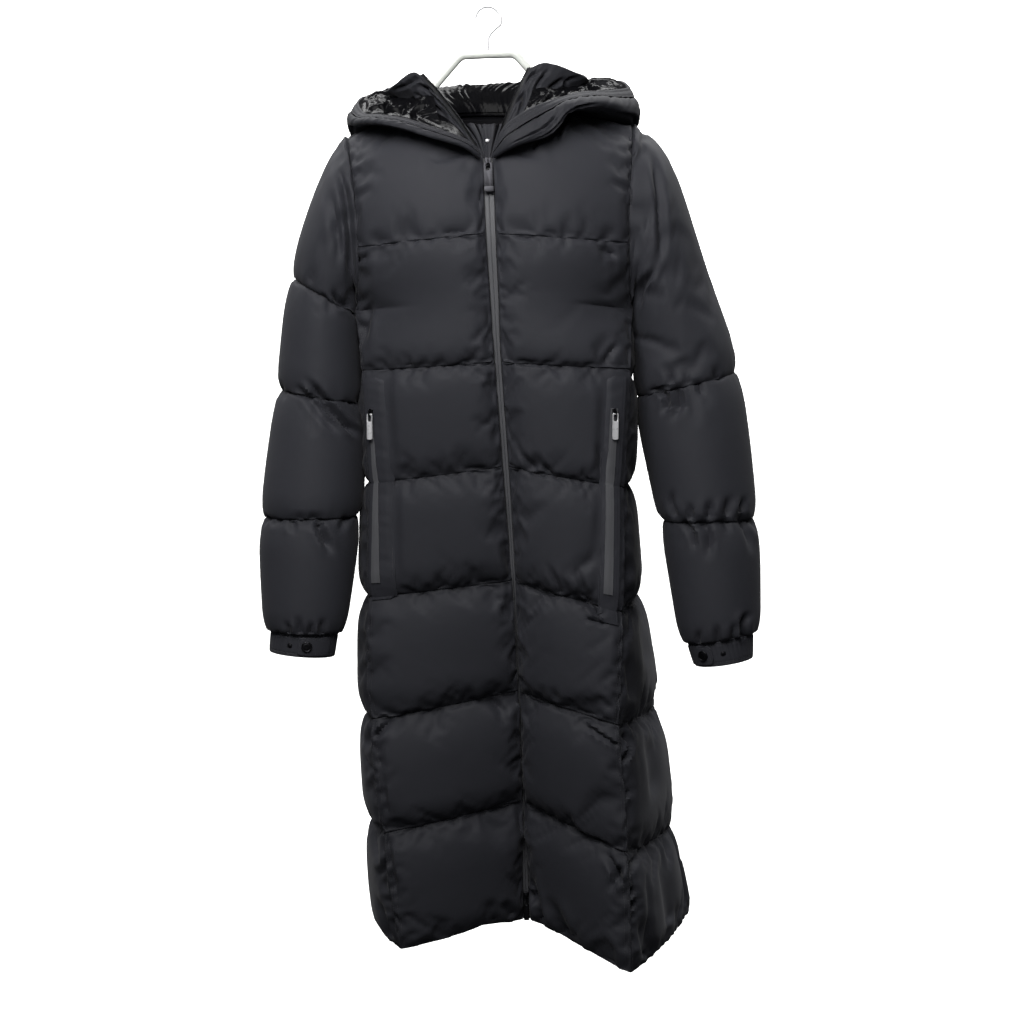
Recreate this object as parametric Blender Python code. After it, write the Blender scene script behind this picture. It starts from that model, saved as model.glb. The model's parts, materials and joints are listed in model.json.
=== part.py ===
"""Long hooded puffer coat on a plain hanger.

Metres, +Z up, the coat's front faces -Y and its right sleeve is at -X (the viewer's left).
The origin is the point inside the hanger's hook where a rail holds it.
Cloth pieces are closed walls: each has an outer and an inner skin, worked out from tables of
seam lines, and it is thin at its quilting lines and full between them.
"""
import math

import bmesh
import bpy
import numpy as np
from mathutils import Euler, Vector

MM = 0.001
SEAM_GAP = 0.3               # each piece stops this far short of a shared seam, in millimetres
HOOD_SEAM_GAP = 1.0          # the hood's seams twist, so its pieces stop a little shorter
REST_GAP = 0.4               # what lies on a piece starts this far above it
WALL = 2.4                   # two layers of nylon with flattened filling, at a quilting line
COAT_NAME = "long_puffer_coat"

# ---------------------------------------------------------------- tables, in millimetres

# Levels down the body. The quilted ones are stitched through; the others only shape the cloth.
LEVELS = (
    "shoulder", "neck", "chest", "yoke", "armpit", "waist_1", "waist_2", "hip_1", "hip_2", "knee", "hem"
)
QUILTED = ("shoulder", "yoke", "waist_1", "waist_2", "hip_1", "hip_2", "knee", "hem")
STEPS = (0.0, 0.14, 0.5, 0.86)      # rows inside one baffle, as parts of its height
TOP_STEPS = (0.0, 0.12, 0.34, 2 / 3, 0.86)
ARMPIT = LEVELS.index("armpit")
CHEST = LEVELS.index("chest")

# Front edge of each front: level, x, y, z of the middle, half the gap between the fronts.
ZIP_LINE = {
    "chest": (1, -92, -205, 7.2),
    "yoke": (5, -108, -303, 6.8),
    "waist_1": (14, -108, -465, 4.6),
    "waist_2": (24, -100, -600, 4.2),
    "hip_1": (34, -88, -751, 3.4),
    "hip_2": (41, -75, -901, 3.0),
    "knee": (47, -62, -1053, 2.8),
    "hem": (52, -50, -1221, 5.0),
}
# Neckline on each front: level, half width, y, z.
NECKLINE = {
    "shoulder": (100, -2, -142),
    "neck": (62, -64, -163),
}
BACK_NECK_DEPTH = 62
BACK_NECK_RISE = 10
SHOULDER_SHARE = 0.2         # each shoulder seam's part of the back's upper edge
# Seams below the armholes: level, x, y, z. "left" is the viewer's left.
SEAMS = {
    "left_front": {
        "waist_1": (-160, -62, -477),
        "waist_2": (-152, -68, -625),
        "hip_1": (-154, -78, -775),
        "hip_2": (-151, -92, -936),
        "knee": (-135, -104, -1087),
        "hem": (-114, -108, -1243),
    },
    "left_back": {
        "waist_1": (-163, 58, -480),
        "waist_2": (-157, 66, -630),
        "hip_1": (-158, 72, -784),
        "hip_2": (-156, 78, -945),
        "knee": (-158, 84, -1105),
        "hem": (-156, 88, -1258),
    },
    "right_front": {
        "waist_1": (181, -84, -476),
        "waist_2": (173, -103, -628),
        "hip_1": (172, -125, -788),
        "hip_2": (168, -145, -933),
        "knee": (180, -160, -1097),
        "hem": (185, -175, -1252),
    },
    "right_back": {
        "waist_1": (190, 60, -482),
        "waist_2": (188, 74, -633),
        "hip_1": (204, 88, -790),
        "hip_2": (232, 96, -957),
        "knee": (257, 102, -1133),
        "hem": (284, 108, -1262),
    },
}
# How far each panel arches out between its seams: level, fronts, sides, back.
ARCH = {
    "shoulder": (2, 0, 2),
    "neck": (8, 0, 4),
    "chest": (12, 0, 6),
    "yoke": (14, 0, 10),
    "armpit": (15, 4, 14),
    "waist_1": (15, 3, 16),
    "waist_2": (12, 3, 18),
    "hip_1": (10, 5, 18),
    "hip_2": (8, 8, 18),
    "knee": (6, 8, 18),
    "hem": (4, 8, 18),
}
# The hem runs level from the zip, then drops to the corner: start of the drop, its curve.
HEM_DROP = {"left": (0.36, 0.75), "right": (0.15, 1.1)}
# Armholes: an ellipse from the shoulder point down to the armpit, and how far it scoops inwards.
ARMHOLES = {
    "left": {"top": (-184, 0, -170), "bottom": (-170, 0, -420), "half_depth": 74, "scoop": 10},
    "right": {"top": (190, 0, -156), "bottom": (186, 0, -420), "half_depth": 76, "scoop": -6},
}
# Where each level of the body meets the armhole, in degrees round it from the shoulder point.
ARMHOLE_TURN = {"shoulder": 0, "neck": 42, "chest": 72, "yoke": 100, "armpit": 145}
ARMHOLE_CLEAR = (2.6, 5.5)   # the sleeve's stand-off at the shoulder and at the armpit

PUFF_FRONT = 15
PUFF_SIDE = 11
PUFF_BACK = 15
PUFF_SLEEVE = 10
INNER_SHARE = 0.35           # how much of a baffle's fullness lies towards the inside

# Sleeve sections: outer x, z; inner x, z; y of the middle; half depth; quilted or not.
SLEEVES = {
    "left": (
        ("head", -213, -226, -176, -385, -4, 72, False),
        ("biceps", -253, -357, -180, -440, -8, 64, True),
        ("elbow", -271, -505, -181, -521, -20, 57, True),
        ("forearm", -291, -671, -181, -670, -45, 52, True),
        ("cuff_seam", -286, -818, -200, -822, -76, 37, True),
    ),
    "right": (
        ("head", 236, -212, 196, -385, -4, 72, False),
        ("biceps", 281, -352, 205, -440, -8, 64, False),
        ("elbow", 324, -482, 214, -510, -20, 57, True),
        ("forearm", 347, -673, 240, -676, -45, 52, True),
        ("cuff_seam", 350, -820, 266, -835, -76, 37, True),
    ),
}
CUFF_ENDS = {
    "left": ("cuff_hem", -288, -846, -204, -853, -81, 34),
    "right": ("cuff_hem", 350, -854, 276, -866, -81, 34),
}
CUFF_WALL = 3.2
# Cuff tab: degrees round the cuff where it starts and ends, where its snap and its stud are.
CUFF_TABS = {
    "left": {"from": 85, "to": 144, "snap": 101, "stud": 72},
    "right": {"from": 113, "to": 172, "snap": 131, "stud": 94},
}
TAB_WALL = 1.6
SNAP = {"radius": 7.0, "thick": 2.4}
STUD = {"radius": 3.4, "thick": 1.6}

# Collar: stations along the neck seam, from the zip over the shoulder to the middle of the back.
# Columns: x, y, z of its upper edge.
COLLAR = {
    "left": (
        (-86, -51, -94),
        (-99, -45, -90),
        (-122, -26, -103),
        (-134, 6, -110),
        (-104, 50, -104),
        (-54, 72, -96),
        (0, 79, -92),
    ),
    "right": (
        (56, -52, -84),
        (77, -46, -73),
        (112, -28, -84),
        (136, 4, -94),
        (106, 50, -96),
        (54, 72, -91),
        (0, 79, -92),
    ),
}
COLLAR_WALL = 3.0
COLLAR_INSET = 3.0           # its foot stands this far inside the neck seam
COLLAR_INSET_ZIP = 3.3       # and this much more at the zip
COLLAR_INSET_BACK = 2.2      # or this much more at the back
COLLAR_PUFF = 1.5
COLLAR_COLUMNS = 9           # on each side
COLLAR_RISES = (0.0, 0.12, 0.4, 0.7, 1.0)
COLLAR_STAND = (0.7, 1.5)    # it stands up first and splays out after: powers of the way up
COLLAR_TAPE_WIDTHS = (2.0, 5.0, 6.0, 6.0)
LINING_WALL = 1.0

# Hood: stations round the neck like the collar's. Columns: its lowest fold, its rim.
HOOD = {
    "left": (
        ((-9, -105, -206), (-9, -110, -195)),
        ((-33, -113, -190), (-30, -113, -181)),
        ((-74, -110, -176), (-73, -107, -166)),
        ((-108, -98, -164), (-106, -94, -155)),
        ((-142, -77, -157), (-139, -71, -146)),
        ((-176, -36, -154), (-168, -35, -136)),
        ((-190, 12, -155), (-178, 8, -127)),
        ((-178, 78, -192), (-164, 70, -124)),
        ((-128, 122, -286), (-118, 122, -128)),
        ((-60, 132, -326), (-56, 144, -132)),
        ((0, 134, -332), (0, 149, -133)),
    ),
    "right": (
        ((9, -105, -205), (9, -110, -192)),
        ((38, -118, -190), (24, -112, -165)),
        ((80, -114, -174), (56, -104, -143)),
        ((104, -104, -144), (90, -92, -130)),
        ((142, -76, -134), (122, -68, -119)),
        ((178, -44, -140), (158, -38, -114)),
        ((200, 4, -150), (190, 4, -108)),
        ((184, 78, -190), (172, 72, -112)),
        ((130, 122, -286), (120, 122, -122)),
        ((60, 132, -326), (56, 144, -130)),
        ((0, 134, -332), (0, 149, -133)),
    ),
}
HOOD_WALL = 4.0              # lightly filled
HOOD_FRONT_WALL = 2.0        # where its ends meet the zip
HOOD_STATIONS = len(HOOD["left"]) - 1
HOOD_SIDE_STATIONS = 8.0     # the side panels run from the zip to this station
HOOD_ROWS = (0, 0.14, 0.28, 0.4, 0.5, 0.6, 0.72, 0.86, 1)
HOOD_EDGE_WIDTH = 18         # the stitched edge along its rim
HOOD_EDGE_MOST = 0.13        # the most of the way from foot to rim that the edge may take up
HOOD_EDGE_WALL = 3.4
HOOD_FOOT_HEIGHT = 18        # up the collar from the neck seam
HOOD_FOOT_CLEAR = 3.5        # out from the collar's face

# Inner collar: half width, y and z of its foot, middle and upper edge.
INNER_COLLAR = {"foot": (4, -89.4, -213), "middle": (22, -77, -178), "top": (44, -60, -151)}
INNER_COLLAR_WALL = 2.0
INNER_STUD = {"radius": 2.6, "thick": 1.4}

# Zip hardware, in its own axes: width, thickness and height, then the pull's width and length.
TAPE_WALL = 1.5
SLIDERS = {
    "main": {"slider": (9.4, 4, 11.5), "pull": (12.2, 38)},
    "bottom": {"slider": (7.4, 4, 10), "pull": (8.0, 31)},
    "pocket": {"slider": (6.4, 3, 9), "pull": (8.0, 33)},
}
MAIN_SLIDER_Z = -210
BOTTOM_SLIDER_Z = -1187
BRIDGE_RADIUS = 0.8
BRIDGE_STAND = 5.0           # how far a bridge's bar stands off the slider's face
BRIDGE_LEG = 4.2             # its two legs are this far above and below the middle
BRIDGE_CORNER = 1.2
SLIDER_TAPER = 0.62          # a slider's lower end, as a part of its width
PULL_THICK = 1.8
PULL_AXIS_STAND = 2.2        # the pull's axis off the slider's face
PULL_SLOT = (5.0, 1.0, 9.6)  # width of the pull's eye, its ends below the axis
PULL_SEAT = 0.35             # the pull hangs this far above the bridge's lower leg

# Columns of each front, as parts of its width; some are the edges of its pocket.
FRONT_COLUMNS = {
    "left": (0, 0.17, 0.34, 0.5, 0.66, 0.80, 0.905, 0.955, 1),
    "right": (0, 0.2, 0.4, 0.6, 0.79, 0.835, 0.905, 0.955, 1),
}
BACK_COLUMNS = 8
SIDE_COLUMNS = 4
SLEEVE_COLUMNS = 14
CUFF_COLUMNS = 24
# Pockets on the fronts: welt's inner and outer edge, tape's edges, as parts of the front's width,
# then the levels where the welt and the tape start and end, and the slider's level.
POCKETS = {
    "left": {"welt": (0.80, 0.975), "tape": (0.905, 0.955), "ends": (5.09, 7.02)},
    "right": {"welt": (0.79, 0.955), "tape": (0.835, 0.905), "ends": (5.09, 7.10)},
}
POCKET_ZIP = (5.30, 6.88)
POCKET_SLIDER = 5.40
WELT_WALL = 1.2
WELT_LIFT = 0.9              # clears the facets of the front under it
POCKET_TAPE_WALL = 0.9
POCKET_SLIDER_LIFT = 1.4     # the tape slopes behind the upright slider

# Hanger: x and z of the right half of the bar, from the middle of its neck to the shoulder tip.
HANGER_BAR = (
    (0, -60), (33, -60.5), (39, -64), (76, -105), (76.5, -128), (77, -150),
    (90, -160), (140, -163.5), (164, -167.5),
)
HANGER_TILT = 0.035          # rise for each unit of x: it hangs a little higher on the right
HANGER_RADIUS = 5.6
HOOK_RADIUS = 2.2
HOOK_BEND = 17               # centre-line radius of the hook's bend
ROUND_SIDES = 24             # of a snap's cap


# ---------------------------------------------------------------- curves and grids

def catmull(points, place):
    """Point at index `place` on a smooth curve through equally spaced points."""
    points = np.asarray(points, dtype=float)
    last = len(points) - 1
    first = min(int(place), last - 1)
    part = place - first
    before = points[first - 1] if first > 0 else 2 * points[0] - points[1]
    after = points[first + 2] if first + 2 <= last else 2 * points[last] - points[last - 1]
    here = points[first]
    there = points[first + 1]
    return 0.5 * (
        2 * here
        + (there - before) * part
        + (2 * before - 5 * here + 4 * there - after) * part**2
        + (3 * here - before - 3 * there + after) * part**3
    )


def unit(vectors):
    length = np.linalg.norm(vectors, axis=-1, keepdims=True)
    return vectors / np.maximum(length, 1e-12)


def fullness(step):
    """A filled baffle's section: steep at its two stitch lines, round between them."""
    return math.sqrt(max(0.0, 4 * step * (1 - step)))


def body_rows():
    """Places down the body, as level indexes, with each one's fullness from 0 to 1."""
    rows = []
    for upper, lower in zip(QUILTED, QUILTED[1:]):
        start = LEVELS.index(upper)
        end = LEVELS.index(lower)
        for step in TOP_STEPS if upper == "shoulder" else STEPS:
            rows.append((start + step * (end - start), fullness(step)))
    rows.append((float(len(LEVELS) - 1), 0.0))
    return rows


class Patch:
    """A quilted piece: a grid of base points, rows down and columns across.

    `outside` is a direction, or a grid of them, that its outer skin roughly faces.
    """

    def __init__(self, base, full, outside, closed=False):
        self.base = np.array(base, dtype=float)
        self.full = np.array(full, dtype=float)
        if closed:
            along = np.roll(self.base, -1, axis=1) - np.roll(self.base, 1, axis=1)
        else:
            along = np.gradient(self.base, axis=1)
        down = np.gradient(self.base, axis=0)
        self.normal = unit(np.cross(down, along))
        if np.sum(self.normal * np.asarray(outside, dtype=float)) < 0:
            self.normal = -self.normal

    def skins(self, wall=WALL, puff=1.0):
        """Outer and inner grids. `wall` is one thickness, or one for each column."""
        half = np.asarray(wall, dtype=float) / 2
        if half.ndim:
            half = half[None, :, None]
        lift = self.full[..., None] * puff
        self.outer = self.base + self.normal * (half + lift)
        inner = self.base - self.normal * (half + lift * INNER_SHARE)
        return self.outer, inner


def between(grid, row, column):
    """Point of a grid between its own points."""
    top = min(int(row), grid.shape[0] - 2)
    left = min(int(column), grid.shape[1] - 2)
    down = row - top
    across = column - left
    upper = grid[top, left] * (1 - across) + grid[top, left + 1] * across
    lower = grid[top + 1, left] * (1 - across) + grid[top + 1, left + 1] * across
    return upper * (1 - down) + lower * down


def share_edge(first, first_index, second, second_index):
    """Give two patches the same normals along the seam that they share."""
    both = unit(first.normal[first_index] + second.normal[second_index])
    first.normal[first_index] = both
    second.normal[second_index] = both


def pull_back(patch, left=False, right=False, top=False, bottom=False, gap=SEAM_GAP):
    """Stop a patch short of the seams that it shares."""
    grid = patch.base
    if left:
        grid[:, 0] += unit(grid[:, 1] - grid[:, 0]) * gap
    if right:
        grid[:, -1] += unit(grid[:, -2] - grid[:, -1]) * gap
    if top:
        grid[0] += unit(grid[1] - grid[0]) * gap
    if bottom:
        grid[-1] += unit(grid[-2] - grid[-1]) * gap


def from_middle(rings):
    """Directions from the middle of each ring out to its points."""
    rings = np.array(rings, dtype=float)
    return rings - rings.mean(axis=1, keepdims=True)


# ---------------------------------------------------------------- objects

def clear_scene():
    for item in list(bpy.data.objects):
        bpy.data.objects.remove(item, do_unlink=True)
    for group in list(bpy.data.collections):
        bpy.data.collections.remove(group)


def make_material(name, colour, roughness, metallic=0.0):
    material = bpy.data.materials.new(name)
    material.use_nodes = True
    shader = material.node_tree.nodes["Principled BSDF"]
    shader.inputs["Base Color"].default_value = (*colour, 1)
    shader.inputs["Roughness"].default_value = roughness
    shader.inputs["Metallic"].default_value = metallic
    return material


def add_object(name, bm, material):
    bmesh.ops.recalc_face_normals(bm, faces=bm.faces)
    mesh = bpy.data.meshes.new(name)
    bm.to_mesh(mesh)
    bm.free()
    mesh.shade_smooth()
    mesh.set_sharp_from_angle(angle=math.radians(50))
    mesh.materials.append(material)
    item = bpy.data.objects.new(name, mesh)
    bpy.data.collections[COAT_NAME].objects.link(item)
    return item


def wall_panel(name, outer, inner, material):
    """A closed wall between two grids of the same size."""
    rows, columns = outer.shape[:2]
    bm = bmesh.new()
    bmesh.ops.create_grid(bm, x_segments=columns - 1, y_segments=rows - 1, size=1)
    made = bmesh.ops.extrude_face_region(bm, geom=bm.faces[:], use_keep_orig=True)
    inside = {item for item in made["geom"] if isinstance(item, bmesh.types.BMVert)}
    for vert in bm.verts:
        column = round((vert.co.x + 1) / 2 * (columns - 1))
        row = round((vert.co.y + 1) / 2 * (rows - 1))
        grid = inner if vert in inside else outer
        vert.co = grid[row, column] * MM
    return add_object(name, bm, material)


def wall_tube(name, outer, inner, material):
    """A closed wall round a tube, whose last column is next to its first."""
    rows, columns = outer.shape[:2]
    bm = bmesh.new()
    bmesh.ops.create_grid(bm, x_segments=columns, y_segments=rows - 1, size=1)
    for vert in bm.verts:
        angle = (vert.co.x + 1) * math.pi
        vert.co = (math.cos(angle), math.sin(angle), vert.co.y)
    bmesh.ops.remove_doubles(bm, verts=bm.verts, dist=1e-4)
    made = bmesh.ops.extrude_face_region(bm, geom=bm.faces[:], use_keep_orig=True)
    inside = {item for item in made["geom"] if isinstance(item, bmesh.types.BMVert)}
    for vert in bm.verts:
        angle = math.atan2(vert.co.y, vert.co.x) % (2 * math.pi)
        column = round(angle / (2 * math.pi) * columns) % columns
        row = round((vert.co.z + 1) / 2 * (rows - 1))
        grid = inner if vert in inside else outer
        vert.co = grid[row, column] * MM
    return add_object(name, bm, material)


def tube(name, points, radius, material):
    """A round bar along a route through `points`, closed at both ends."""
    curve = bpy.data.curves.new(name, "CURVE")
    curve.dimensions = "3D"
    curve.bevel_depth = radius * MM
    curve.bevel_resolution = 2
    curve.use_fill_caps = True
    spline = curve.splines.new("POLY")
    spline.points.add(len(points) - 1)
    for slot, point in zip(spline.points, points):
        slot.co = (*(np.array(point) * MM), 1)
    curve.materials.append(material)
    item = bpy.data.objects.new(name, curve)
    bpy.data.collections[COAT_NAME].objects.link(item)
    return item


def disc(name, radius, thick, centre, facing, material):
    """A round cap with a bevelled rim; `centre` is the middle of its back face."""
    bm = bmesh.new()
    bmesh.ops.create_cone(
        bm,
        cap_ends=True,
        segments=ROUND_SIDES,
        radius1=radius * MM,
        radius2=radius * 0.8 * MM,
        depth=thick * MM,
    )
    item = add_object(name, bm, material)
    item.location = Vector(centre + unit(facing) * thick / 2) * MM
    item.rotation_euler = Vector(facing).to_track_quat("Z", "Y").to_euler()
    return item


# ---------------------------------------------------------------- seam lines of the body

def armhole_point(side, turn):
    """Point on an armhole, `turn` degrees from the shoulder; the front is positive."""
    hole = ARMHOLES[side]
    top = np.array(hole["top"], dtype=float)
    bottom = np.array(hole["bottom"], dtype=float)
    angle = math.radians(turn)
    point = (top + bottom) / 2 + (top - bottom) / 2 * math.cos(angle)
    point[0] += hole["scoop"] * math.sin(angle) ** 2
    point[1] -= hole["half_depth"] * math.sin(angle)
    return point


def outer_edge(side, face, place):
    """Outer edge of a front or back: the armhole, then the side seam."""
    sign = 1 if face == "front" else -1
    if place <= ARMPIT:
        turns = [[ARMHOLE_TURN[level]] for level in LEVELS[: ARMPIT + 1]]
        return armhole_point(side, sign * catmull(turns, place)[0])
    seam = SEAMS[f"{side}_{face}"]
    points = [armhole_point(side, sign * ARMHOLE_TURN["armpit"])]
    points += [seam[level] for level in LEVELS[ARMPIT + 1 :]]
    return catmull(points, place - ARMPIT)


def zip_middle(place):
    """Middle of the zip's line and half the gap between the fronts."""
    names = [level for level in LEVELS if level in ZIP_LINE]
    places = [LEVELS.index(level) for level in names]
    values = np.array([ZIP_LINE[level] for level in names], dtype=float)
    row = [np.interp(place, places, values[:, column]) for column in range(4)]
    return np.array(row[:3]), row[3]


def neck_corner(side, level):
    sign = -1 if side == "left" else 1
    half_width, depth, height = NECKLINE[level]
    return np.array([sign * half_width, depth, height], dtype=float)


def front_edge(side, place):
    """Inner edge of a front: the neckline, then the zip."""
    sign = -1 if side == "left" else 1
    middle, gap = zip_middle(max(place, CHEST))
    middle[0] += sign * gap
    if place >= CHEST:
        return middle
    return catmull([neck_corner(side, "shoulder"), neck_corner(side, "neck"), middle], place)


def back_edge(across):
    """The back's upper edge: a shoulder seam each side of the neckline."""
    left = outer_edge("left", "back", 0)
    right = outer_edge("right", "back", 0)
    neck_left = neck_corner("left", "shoulder")
    neck_right = neck_corner("right", "shoulder")
    if across <= SHOULDER_SHARE:
        return left + (neck_left - left) * across / SHOULDER_SHARE
    if across >= 1 - SHOULDER_SHARE:
        return right + (neck_right - right) * (1 - across) / SHOULDER_SHARE
    round_neck = (across - SHOULDER_SHARE) / (1 - 2 * SHOULDER_SHARE)
    point = neck_left + (neck_right - neck_left) * round_neck
    point[1] += BACK_NECK_DEPTH * math.sin(math.pi * round_neck) ** 0.8
    point[2] += BACK_NECK_RISE * math.sin(math.pi * round_neck)
    return point


def arch_at(place, column):
    return np.interp(place, range(len(LEVELS)), [ARCH[level][column] for level in LEVELS])


# ---------------------------------------------------------------- body panels

def hem_level(side, place, across):
    """How far down the hem has come, from 0 at the zip to 1 at the corner."""
    start, curve = HEM_DROP[side]
    near_hem = min(1.0, max(0.0, place - LEVELS.index("knee")))
    shaped = max(0.0, (across - start) / (1 - start)) ** curve
    return across + (shaped - across) * near_hem


def top_share(place):
    """Part of its fullness that the top baffle keeps where the hood and collar press on it."""
    return min(1.0, 0.25 + 0.22 * place)


def front_patch(side):
    base = []
    full = []
    for place, puff in body_rows():
        inner = front_edge(side, place)
        outer = outer_edge(side, "front", place)
        base_row = []
        full_row = []
        for across in FRONT_COLUMNS[side]:
            point = inner + (outer - inner) * across
            point[1] -= arch_at(place, 0) * math.sin(math.pi * across)
            point[2] = inner[2] + (outer[2] - inner[2]) * hem_level(side, place, across)
            base_row.append(point)
            outer_share = 0.25 if place < ARMPIT + 0.6 else 0.5
            edge = min(1.0, 0.35 + 4 * across, outer_share + 3.5 * (1 - across))
            full_row.append(puff * edge * top_share(place) * PUFF_FRONT)
        base.append(base_row)
        full.append(full_row)
    patch = Patch(base, full, outside=(0, -1, 0))
    places = [place for place, puff in body_rows()]
    for row, place in enumerate(places):
        if place >= CHEST:
            patch.normal[row, 0] = unit(patch.normal[row, 0] * np.array([0, 1, 1]))
    return patch


def back_patch():
    base = []
    full = []
    for place, puff in body_rows():
        left = outer_edge("left", "back", place)
        right = outer_edge("right", "back", place)
        blend = max(0.0, 1 - place)
        blend = blend * blend * (3 - 2 * blend)
        base_row = []
        full_row = []
        for column in range(BACK_COLUMNS + 1):
            across = column / BACK_COLUMNS
            point = left + (right - left) * across
            point[1] += arch_at(place, 2) * math.sin(math.pi * across)
            point += (back_edge(across) - point) * blend
            base_row.append(point)
            outer_share = 0.25 if place < ARMPIT + 0.6 else 0.5
            edge = min(1.0, outer_share + 5 * across, outer_share + 5 * (1 - across))
            full_row.append(puff * edge * top_share(place) * PUFF_BACK)
        base.append(base_row)
        full.append(full_row)
    return Patch(base, full, outside=(0, 1, 0))


def side_patch(side):
    columns = SIDE_COLUMNS
    sign = -1 if side == "left" else 1
    lowest_turn = ARMHOLE_TURN["armpit"]
    base = []
    full = []
    for place, puff in body_rows():
        if place < ARMPIT:
            continue
        front = outer_edge(side, "front", place)
        back = outer_edge(side, "back", place)
        sag = max(0.0, 1 - (place - ARMPIT) / 2) ** 1.5
        squeeze = min(1.0, max(0.0, place - 4.6))
        base_row = []
        full_row = []
        for column in range(columns + 1):
            across = column / columns
            point = front + (back - front) * across
            turn = lowest_turn + (360 - 2 * lowest_turn) * across
            chord = armhole_point(side, lowest_turn) * (1 - across)
            chord += armhole_point(side, -lowest_turn) * across
            point += (armhole_point(side, turn) - chord) * sag
            point[0] += sign * arch_at(place, 1) * math.sin(math.pi * across)
            base_row.append(point)
            edge = min(1.0, 0.6 + 2 * across, 0.6 + 2 * (1 - across))
            full_row.append(puff * edge * PUFF_SIDE * squeeze)
        base.append(base_row)
        full.append(full_row)
    return Patch(base, full, outside=(sign, 0, 0))


def make_body(materials):
    fronts = {side: front_patch(side) for side in ("left", "right")}
    sides = {side: side_patch(side) for side in ("left", "right")}
    back = back_patch()
    first_side_row = len(back.base) - len(sides["left"].base)
    below = slice(first_side_row, None)
    every = slice(None)
    for side, back_column in (("left", 0), ("right", -1)):
        share_edge(fronts[side], (below, -1), sides[side], (every, 0))
        share_edge(back, (below, back_column), sides[side], (every, -1))
    for patch in (*fronts.values(), back):
        patch.normal[0] = unit(patch.normal[0] * np.array([1, 0, 1]) + np.array([0, 0, 2]))
    for side in ("left", "right"):
        pull_back(fronts[side], right=True, top=True)
        pull_back(sides[side], left=True, right=True)
    pull_back(back, left=True, right=True, top=True)
    for name, patch in (
        ("front_left", fronts["left"]),
        ("front_right", fronts["right"]),
        ("side_left", sides["left"]),
        ("side_right", sides["right"]),
        ("back", back),
    ):
        outer, inner = patch.skins()
        wall_panel(name, outer, inner, materials["shell"])
    return fronts


# ---------------------------------------------------------------- sleeves and cuffs

def ring(outer_x, outer_z, inner_x, inner_z, middle_y, half_depth, turn):
    """Point on a sleeve section, `turn` degrees from its outer side; the front is positive."""
    outer = np.array([outer_x, middle_y, outer_z], dtype=float)
    inner = np.array([inner_x, middle_y, inner_z], dtype=float)
    angle = math.radians(turn)
    point = (outer + inner) / 2 + (outer - inner) / 2 * math.cos(angle)
    point[1] -= half_depth * math.sin(angle)
    return point


def sleeve_fill(turn, place):
    """Fuller on the outer side; pressed flat where the upper sleeve lies against the body."""
    towards_body = max(0.0, -math.cos(math.radians(turn)))
    pressed = min(1.0, max(0.0, 3.4 - place))
    return 1 - towards_body * pressed


def sleeve_patch(side):
    columns = SLEEVE_COLUMNS
    sign = -1 if side == "left" else 1
    sections = SLEEVES[side]
    turns = [360 * column / columns for column in range(columns)]
    armhole = []
    for turn in turns:
        low = (1 - math.cos(math.radians(turn))) / 2
        clear = ARMHOLE_CLEAR[0] + (ARMHOLE_CLEAR[1] - ARMHOLE_CLEAR[0]) * low
        armhole.append(armhole_point(side, turn) + np.array([sign * clear, 0, 0]))
    rings = [armhole] + [[ring(*section[1:7], turn) for turn in turns] for section in sections]
    quilts = [0] + [index + 1 for index, section in enumerate(sections) if section[7]]
    base = []
    full = []
    for upper, lower in zip(quilts, quilts[1:]):
        steps = STEPS if lower - upper == 1 else (0.0, 0.08, 0.25, 0.5, 0.75, 0.92)
        for step in steps:
            place = upper + step * (lower - upper)
            base.append([catmull([section[column] for section in rings], place) for column in range(columns)])
            full.append([fullness(step) * PUFF_SLEEVE * sleeve_fill(turn, place) for turn in turns])
    base.append(rings[-1])
    full.append([0.0] * columns)
    return Patch(base, full, outside=from_middle(base), closed=True)


def cuff_point(side, turn, part):
    """Point on a cuff, `part` of the way from its seam to its hem."""
    upper = ring(*SLEEVES[side][-1][1:7], turn)
    lower = ring(*CUFF_ENDS[side][1:7], turn)
    upper = upper + unit(lower - upper) * 2 * SEAM_GAP
    return upper + (lower - upper) * part


def cuff_patch(side, turns, parts, closed):
    base = [[cuff_point(side, turn, part) for turn in turns] for part in parts]
    middle = cuff_point(side, 0, 0.5) / 2 + cuff_point(side, 180, 0.5) / 2
    outwards = np.array(base) - middle
    return Patch(base, np.zeros((len(parts), len(turns))), outside=outwards, closed=closed)


def make_sleeves(materials):
    for side in ("left", "right"):
        outer, inner = sleeve_patch(side).skins()
        wall_tube(f"sleeve_{side}", outer, inner, materials["shell"])
        make_cuff(side, materials)


def make_cuff(side, materials):
    turns = [360 * column / CUFF_COLUMNS for column in range(CUFF_COLUMNS)]
    outer, inner = cuff_patch(side, turns, (0.0, 0.5, 1.0), closed=True).skins(wall=CUFF_WALL)
    wall_tube(f"cuff_{side}", outer, inner, materials["shell"])
    tab = CUFF_TABS[side]
    inside_turns = [turn for turn in turns if tab["from"] < turn < tab["to"]]
    patch = cuff_patch(side, [tab["from"], *inside_turns, tab["to"]], (0.1, 0.5, 0.9), closed=False)
    foot = CUFF_WALL / 2 + REST_GAP
    under = patch.base + patch.normal * foot
    wall_panel(f"cuff_tab_{side}", under + patch.normal * TAB_WALL, under, materials["shell"])
    on_tab = foot + TAB_WALL + REST_GAP
    on_cuff = foot + REST_GAP
    for name, shape, height in (("snap", SNAP, on_tab), ("stud", STUD, on_cuff)):
        near = cuff_patch(side, [tab[name] - 5, tab[name], tab[name] + 5], (0.3, 0.5, 0.7), closed=False)
        facing = near.normal[1, 1]
        centre = near.base[1, 1] + facing * height
        disc(f"cuff_{name}_{side}", shape["radius"], shape["thick"], centre, facing, materials["dark_metal"])


# ---------------------------------------------------------------- collar and hood

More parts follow.
